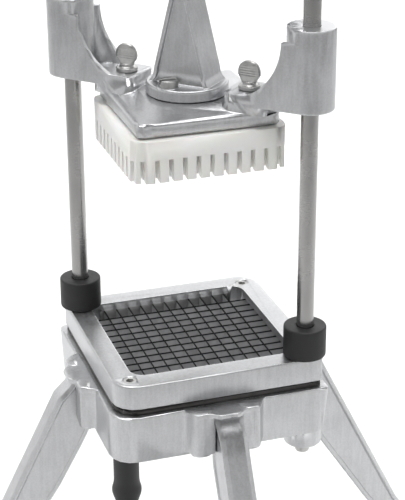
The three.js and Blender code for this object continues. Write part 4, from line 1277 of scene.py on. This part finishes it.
class CUTTER_OT_nuts(CutterOperator, bpy.types.Operator):
    """Cap nuts and washers on the rods"""

    bl_idname = "cutter.nuts"
    bl_label = "Cap nuts"

    def build(self, sizes):
        nodes = ["rod_nut_right", "rod_nut_left"]
        origin, low, high, radius = standing_node(nodes[0])
        edge, dome = sizes.turned_round, sizes.nut_dome / 2
        collar = low + sizes.nut_height
        bore = (sizes.stud_diameter + sizes.washer_bore) / 2
        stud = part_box("guide_rod_right")[1].z + sizes.washer_bore
        profile = [
            (bore, low, 0), *hexagon_part(radius, low, collar, sizes.nut_flats, edge), (dome, collar, 0),
            (dome, high, dome * 0.95), (0, high, 0), (0, stud, 0), (bore, stud, 0),
        ]
        copies_round("cap_nuts", turned(profile, standing(origin), 96), "polished_steel", nodes)
        nodes = ["rod_washer_right", "rod_washer_left"]
        low, high, radius = span(nodes[0], origin)
        shape = turned(tube(bore, radius, low, high, edge), standing(origin))
        copies_round("rod_washers", shape, "plated_steel", nodes)


class CUTTER_OT_thumb_screws(CutterOperator, bpy.types.Operator):
    """Thumb screws with ribbed spades"""

    bl_idname = "cutter.thumb_screws"
    bl_label = "Thumb screws"

    rim_share = 0.98
    neck_spread_share = 1.25

    # Shape of the spade: widths and thickness as shares of its own, and heights as shares of its height
    rib_share = 0.07
    ribs_start_share, ribs_full_share = 0.18, 0.3
    waist_share = 0.62
    waist_end_share = 0.4
    widest_share = 0.42
    root_share = 1.5
    root_end_share = 0.3
    round_power, edge_power = 2.4, 9
    width_power, depth_power = 0.7, 0.45
    thinnest = 0.00001

    def build(self, sizes):
        edge, neck, shank = sizes.turned_round, sizes.neck_diameter / 2, sizes.screw_shank / 2
        for side in PAIR:
            node = "thumb_screw_" + side
            origin, low, _, radius = standing_node(node)
            rim, vertices = radius * self.rim_share, NODES[node].data.vertices
            foot = min(vertex.co.z for vertex in vertices if (vertex.co.xy - origin.xy).length > rim)
            collar = foot + sizes.collar_height
            top = collar + sizes.neck_height
            profile = [
                (0, low, 0), (shank, low, edge), (shank, foot, 0), (radius, foot, edge),
                (radius, collar, edge * 1.5), (neck * self.neck_spread_share, collar, edge),
                (neck, collar + edge * 2, edge), (neck, top, edge * 2), (0, top, 0),
            ]
            shape = turned(profile, standing(origin))
            self.add_spade(shape, origin, top - edge * 3, sizes)
            piece(node, "_plated", shape, "plated_steel")

    def add_spade(self, shape, origin, low, sizes):
        """A flat round-topped spade whose two faces have level ribs."""
        rows, sides = 40, 40
        rings = []
        for row in range(rows + 1):
            share = math.sin(row / rows * math.pi / 2)
            narrow = self.waist_share + (1 - self.waist_share) * smooth_step(share, 0, self.waist_end_share)
            over = max(0.0, (share - self.widest_share) / (1 - self.widest_share))
            fall = math.sqrt(max(0.0, 1 - over**self.round_power))
            width = max(sizes.spade_width / 2 * narrow * fall, self.thinnest)
            root = self.root_share - (self.root_share - 1) * smooth_step(share, 0, self.root_end_share)
            height = low + share * sizes.spade_height
            ribs = smooth_step(share, self.ribs_start_share, self.ribs_full_share)
            wave = math.cos(FULL_TURN * height / sizes.spade_rib) * ribs
            body = sizes.spade_thickness / 2 * root * math.sqrt(max(0.0, 1 - share**self.edge_power))
            depth = max(body * (1 + self.rib_share * wave), self.thinnest)
            ring = []
            for side in range(sides):
                angle = FULL_TURN * side / sides
                x = width * self.squared(math.cos(angle), self.width_power)
                y = depth * self.squared(math.sin(angle), self.depth_power)
                ring.append((x, y, height))
            rings.append(ring)
        loft(shape, rings, Matrix.Translation(origin) @ CROSS)

    def squared(self, value, power):
        """A cosine or sine pushed outwards, for a squarer oval."""
        return math.copysign(abs(value) ** power, value)


class CUTTER_OT_pins(CutterOperator, bpy.types.Operator):
    """Pivot pins with their washers and clips"""

    bl_idname = "cutter.pins"
    bl_label = "Pins"

    def build(self, sizes):
        edge, pin = sizes.turned_round, sizes.pin_diameter / 2
        bore = pin + sizes.washer_bore / 2
        for name in ("lever_pin", "fulcrum_pin"):
            origin = between_washers(name)
            place = standing(origin, PIN_AXIS)
            low, high, radius = span(name, origin, PIN_AXIS)
            seat = high - sizes.pin_head
            profile = [
                (0, low, 0), (pin, low, edge * 2), (pin, seat, 0), (radius, seat, edge),
                (radius, high, edge * 2), (0, high, 0),
            ]
            piece(name, "_steel", turned(profile, place), "polished_steel")
            for part in ("_washer_left", "_washer_right", "_clip"):
                low, high, radius = span(name + part, origin, PIN_AXIS)
                shape = turned(tube(bore, radius, low, high, edge), place)
                piece(name + part, "_plated", shape, "plated_steel")


def between_washers(pin):
    """The middle of a pivot pin, between its two washers."""
    return middle(pin + "_washer_left").lerp(middle(pin + "_washer_right"), 0.5)


class CUTTER_OT_handle(CutterOperator, bpy.types.Operator):
    """Rubber grip, and the bolts and nuts of the handle bar"""

    bl_idname = "cutter.handle"
    bl_label = "Handle"

    bar_share = 0.75
    widest_bore_share = 0.55
    end_edge_share = 1.6
    head_share = 0.9

    def build(self, sizes):
        edge = sizes.turned_round
        for end in ("front", "rear"):
            bolt, nut = "handle_bolt_" + end, "handle_nut_" + end
            origin = middle(bolt)
            axis = self.towards_head(bolt, origin)
            profile = hexagon_screw(*span(bolt, origin, axis), sizes.bolt_shank / 2, sizes.head_height, edge)
            piece(bolt, "_plated", turned(profile, standing(origin, axis), 96), "plated_steel")
            low, high, radius = span(nut, origin, PIN_AXIS)
            bore = (sizes.bolt_shank + sizes.washer_bore) / 2
            sides = hexagon_part(radius, low, high, radius * math.sqrt(3), edge)
            shape = turned([(bore, low, 0), *sides, (bore, high, 0)], standing(origin, PIN_AXIS), 96)
            piece(nut, "_plated", shape, "plated_steel")
        self.grip(sizes)

    def towards_head(self, bolt, origin):
        """The bolt's axis, pointing at its head."""
        head = span(bolt, origin, PIN_AXIS)[2] * self.head_share
        offsets = [vertex.co - origin for vertex in NODES[bolt].data.vertices]
        wide = [w.dot(PIN_AXIS) for w in offsets if (w - PIN_AXIS * w.dot(PIN_AXIS)).length > head]
        return PIN_AXIS if sum(wide) >= 0 else -PIN_AXIS

    def grip(self, sizes):
        """A ribbed grip round the end of the bar."""
        joint = next(joint for joint in frame["joints"] if joint["name"] == "lever_swing")
        fulcrum = Vector(joint["pos_m"])
        along = (between_washers("lever_pin") - fulcrum).normalized()
        low, high, radius = span("handle_grip", fulcrum, along)
        bar_end = span("handle_bar", fulcrum, along)[1] + sizes.washer_bore / 2
        bar = sizes.stud_diameter * self.bar_share + sizes.washer_bore / 2
        bar = min(bar, radius * self.widest_bore_share)
        edge, rib = sizes.rubber_round * 2, sizes.grip_rib
        fillet = rib / 5
        profile = [(bar, low, 0), (radius, low, edge)]
        count = int((high - low - 4 * edge) / rib)
        for index in range(count):
            start = low + 2 * edge + index * rib
            profile += [(radius, start, fillet), (radius - sizes.grip_depth, start + rib / 2, fillet)]
        last = low + 2 * edge + count * rib
        profile += [
            (radius, last, fillet), (radius, high, edge * self.end_edge_share), (0, high, 0),
            (0, bar_end, 0), (bar, bar_end, 0),
        ]
        piece("handle_grip", "_rubber", turned(profile, standing(fulcrum, along)), "black_rubber")


class CUTTER_OT_feet(CutterOperator, bpy.types.Operator):
    """Rubber suction feet"""

    bl_idname = "cutter.feet"
    bl_label = "Feet"

    # Profile of a foot as shares of its radius and of its height, with the fillet at each point
    foot_shares = (
        (0.0, 0.057), (0.55, 0.03), (0.93, 0.0), (1.0, 0.0), (1.0, 0.019), (0.86, 0.104), (0.5, 0.179),
        (0.34, 0.25), (0.42, 0.335), (0.54, 0.47), (0.44, 0.584), (0.442, 0.99),
    )
    fillets = (0, 0.002, 0.0003, 0.0003, 0.001, 0.004, 0.004, 0.0035, 0.004, 0.005, 0.004, 0.0008)
    bore_share = 0.63
    bore_end_share = 0.64

    def build(self, sizes):
        nodes = ["suction_foot_" + side for side in QUARTERS]
        origin, _, high, radius = standing_node(nodes[0])
        outline = zip(self.foot_shares, self.fillets)
        profile = [(across * radius, up * high, fillet) for (across, up), fillet in outline]
        bore, bore_end = self.foot_shares[-1][0] * radius * self.bore_share, high * self.bore_end_share
        profile += [(bore, high, 0), (bore, bore_end, 0), (0, bore_end, 0)]
        copies_round("suction_feet", turned(profile, standing(origin)), "black_rubber", nodes)


class CUTTER_OT_bushes(CutterOperator, bpy.types.Operator):
    """Bronze bushes and inserts, which keep their shape and get their finish"""

    bl_idname = "cutter.bushes"
    bl_label = "Bushes"

    def build(self, sizes):
        for stem in ("guide_bush_", "block_insert_"):
            for side in PAIR:
                materials = NODES[stem + side].data.materials
                materials.clear()
                materials.append(finish("bronze"))


class CUTTER_OT_stage(bpy.types.Operator):
    """Pale floor, soft light and the camera"""

    bl_idname = "cutter.stage"
    bl_label = "Stage"
    bl_options = {"REGISTER", "UNDO"}

    # Name, place, target, width and depth, power and spread
    lamps = (
        ("overhead", (0.3, 1.1, 2.2), (0.3, 1.1, 0), (2.8, 3.6), 37, 75),
        ("back right", (2.0, 2.5, 1.3), (0, 0, 0.35), (1.5, 1.0), 4, 180),
        ("back low", (0.95, 2.8, 1.2), (0, 0, 0.4), (2.6, 0.7), 3, 180),
    )
    low_strength = 0.82
    back_strength = 0.95
    least_strength = 0.19

    def execute(self, context):
        scene = context.scene
        self.floor(scene)
        self.world(scene)
        for lamp in self.lamps:
            self.lamp(scene, *lamp)
        self.camera(scene)
        scene.view_settings.view_transform = "Standard"
        return {"FINISHED"}

    def floor(self, scene):
        """A pale floor, finely rough."""
        shape = bmesh.new()
        bmesh.ops.create_grid(shape, x_segments=4, y_segments=4, size=FLOOR_SIZE / 2)
        floor = new_object("floor", shape)
        floor.data.materials.append(pale_floor("studio_floor", scene.cutter_colours.floor))

    def world(self, scene):
        """Light near the horizon and behind the object, grey above it and in front."""
        world = bpy.data.worlds.new("studio")
        scene.world = world
        nodes = ShaderNodes(world)
        direction = nodes.node("ShaderNodeTexCoord", output="Generated")
        height = nodes.part(direction, 2)
        behind = nodes.spread(nodes.part(direction, 1), 0.1, 0.6)
        low_light = (1 - nodes.spread(height, 0.2, 0.45)) * self.low_strength
        back_light = behind * (1 - nodes.spread(height, 0.5, 0.8)) * self.back_strength
        background = world.node_tree.nodes["Background"]
        background.inputs["Color"].default_value = (1, 1, 1, 1)
        strength = nodes.maths("MAXIMUM", low_light, back_light) + self.least_strength
        nodes.feed(background.inputs["Strength"], strength)

    def lamp(self, scene, name, place, target, size, power, spread):
        """A soft rectangular light aimed at a target, with its power in watts and its spread in degrees."""
        data = bpy.data.lights.new(name, "AREA")
        data.shape = "RECTANGLE"
        data.size, data.size_y = size
        data.energy = power
        data.spread = math.radians(spread)
        self.place(scene, name, data, place, target)

    def place(self, scene, name, data, place, target, roll=0):
        """A light or camera at a place, aimed at a target."""
        made = bpy.data.objects.new(name, data)
        aim = (Vector(target) - Vector(place)).to_track_quat("-Z", "Y").to_matrix()
        turn = aim @ Matrix.Rotation(roll, 3, "Z") if roll else aim
        made.matrix_world = Matrix.Translation(place) @ turn.to_4x4()
        scene.collection.objects.link(made)
        return made

    def camera(self, scene):
        """A long lens that looks down at the head and the ring from the front left."""
        data = bpy.data.cameras.new("camera")
        data.sensor_width = 36
        data.sensor_fit = "AUTO"
        data.lens = CAMERA_LENS
        data.clip_end = 50
        scene.camera = self.place(scene, "camera", data, CAMERA_PLACE, CAMERA_AIM, CAMERA_ROLL)


OPERATORS = (
    CUTTER_OT_body, CUTTER_OT_ring, CUTTER_OT_head, CUTTER_OT_tower, CUTTER_OT_yoke, CUTTER_OT_legs,
    CUTTER_OT_lever, CUTTER_OT_block, CUTTER_OT_blades, CUTTER_OT_rods, CUTTER_OT_bumpers, CUTTER_OT_screws,
    CUTTER_OT_nuts, CUTTER_OT_thumb_screws, CUTTER_OT_pins, CUTTER_OT_handle, CUTTER_OT_feet,
    CUTTER_OT_bushes, CUTTER_OT_stage,
)


class CUTTER_PT_panel(bpy.types.Panel):
    """Sidebar panel with one button for each operator"""

    bl_label = "French fry cutter"
    bl_idname = "CUTTER_PT_panel"
    bl_space_type = "VIEW_3D"
    bl_region_type = "UI"
    bl_category = "Cutter"

    def draw(self, context):
        for operator in OPERATORS:
            self.layout.operator(operator.bl_idname)
        for group in (context.scene.cutter_sizes, context.scene.cutter_colours):
            column = self.layout.column()
            for name in group.__annotations__:
                column.prop(group, name)


CLASSES = (CutterSizes, CutterColours, *OPERATORS, CUTTER_PT_panel)


def register():
    for kind in CLASSES:
        bpy.utils.register_class(kind)
    bpy.types.Scene.cutter_sizes = PointerProperty(type=CutterSizes)
    bpy.types.Scene.cutter_colours = PointerProperty(type=CutterColours)


def unregister():
    del bpy.types.Scene.cutter_colours
    del bpy.types.Scene.cutter_sizes
    for kind in reversed(CLASSES):
        bpy.utils.unregister_class(kind)


def main():
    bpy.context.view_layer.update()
    register()
    for operator in OPERATORS:
        group, name = operator.bl_idname.split(".")
        getattr(getattr(bpy.ops, group), name)()


if __name__ == "__main__":
    main()
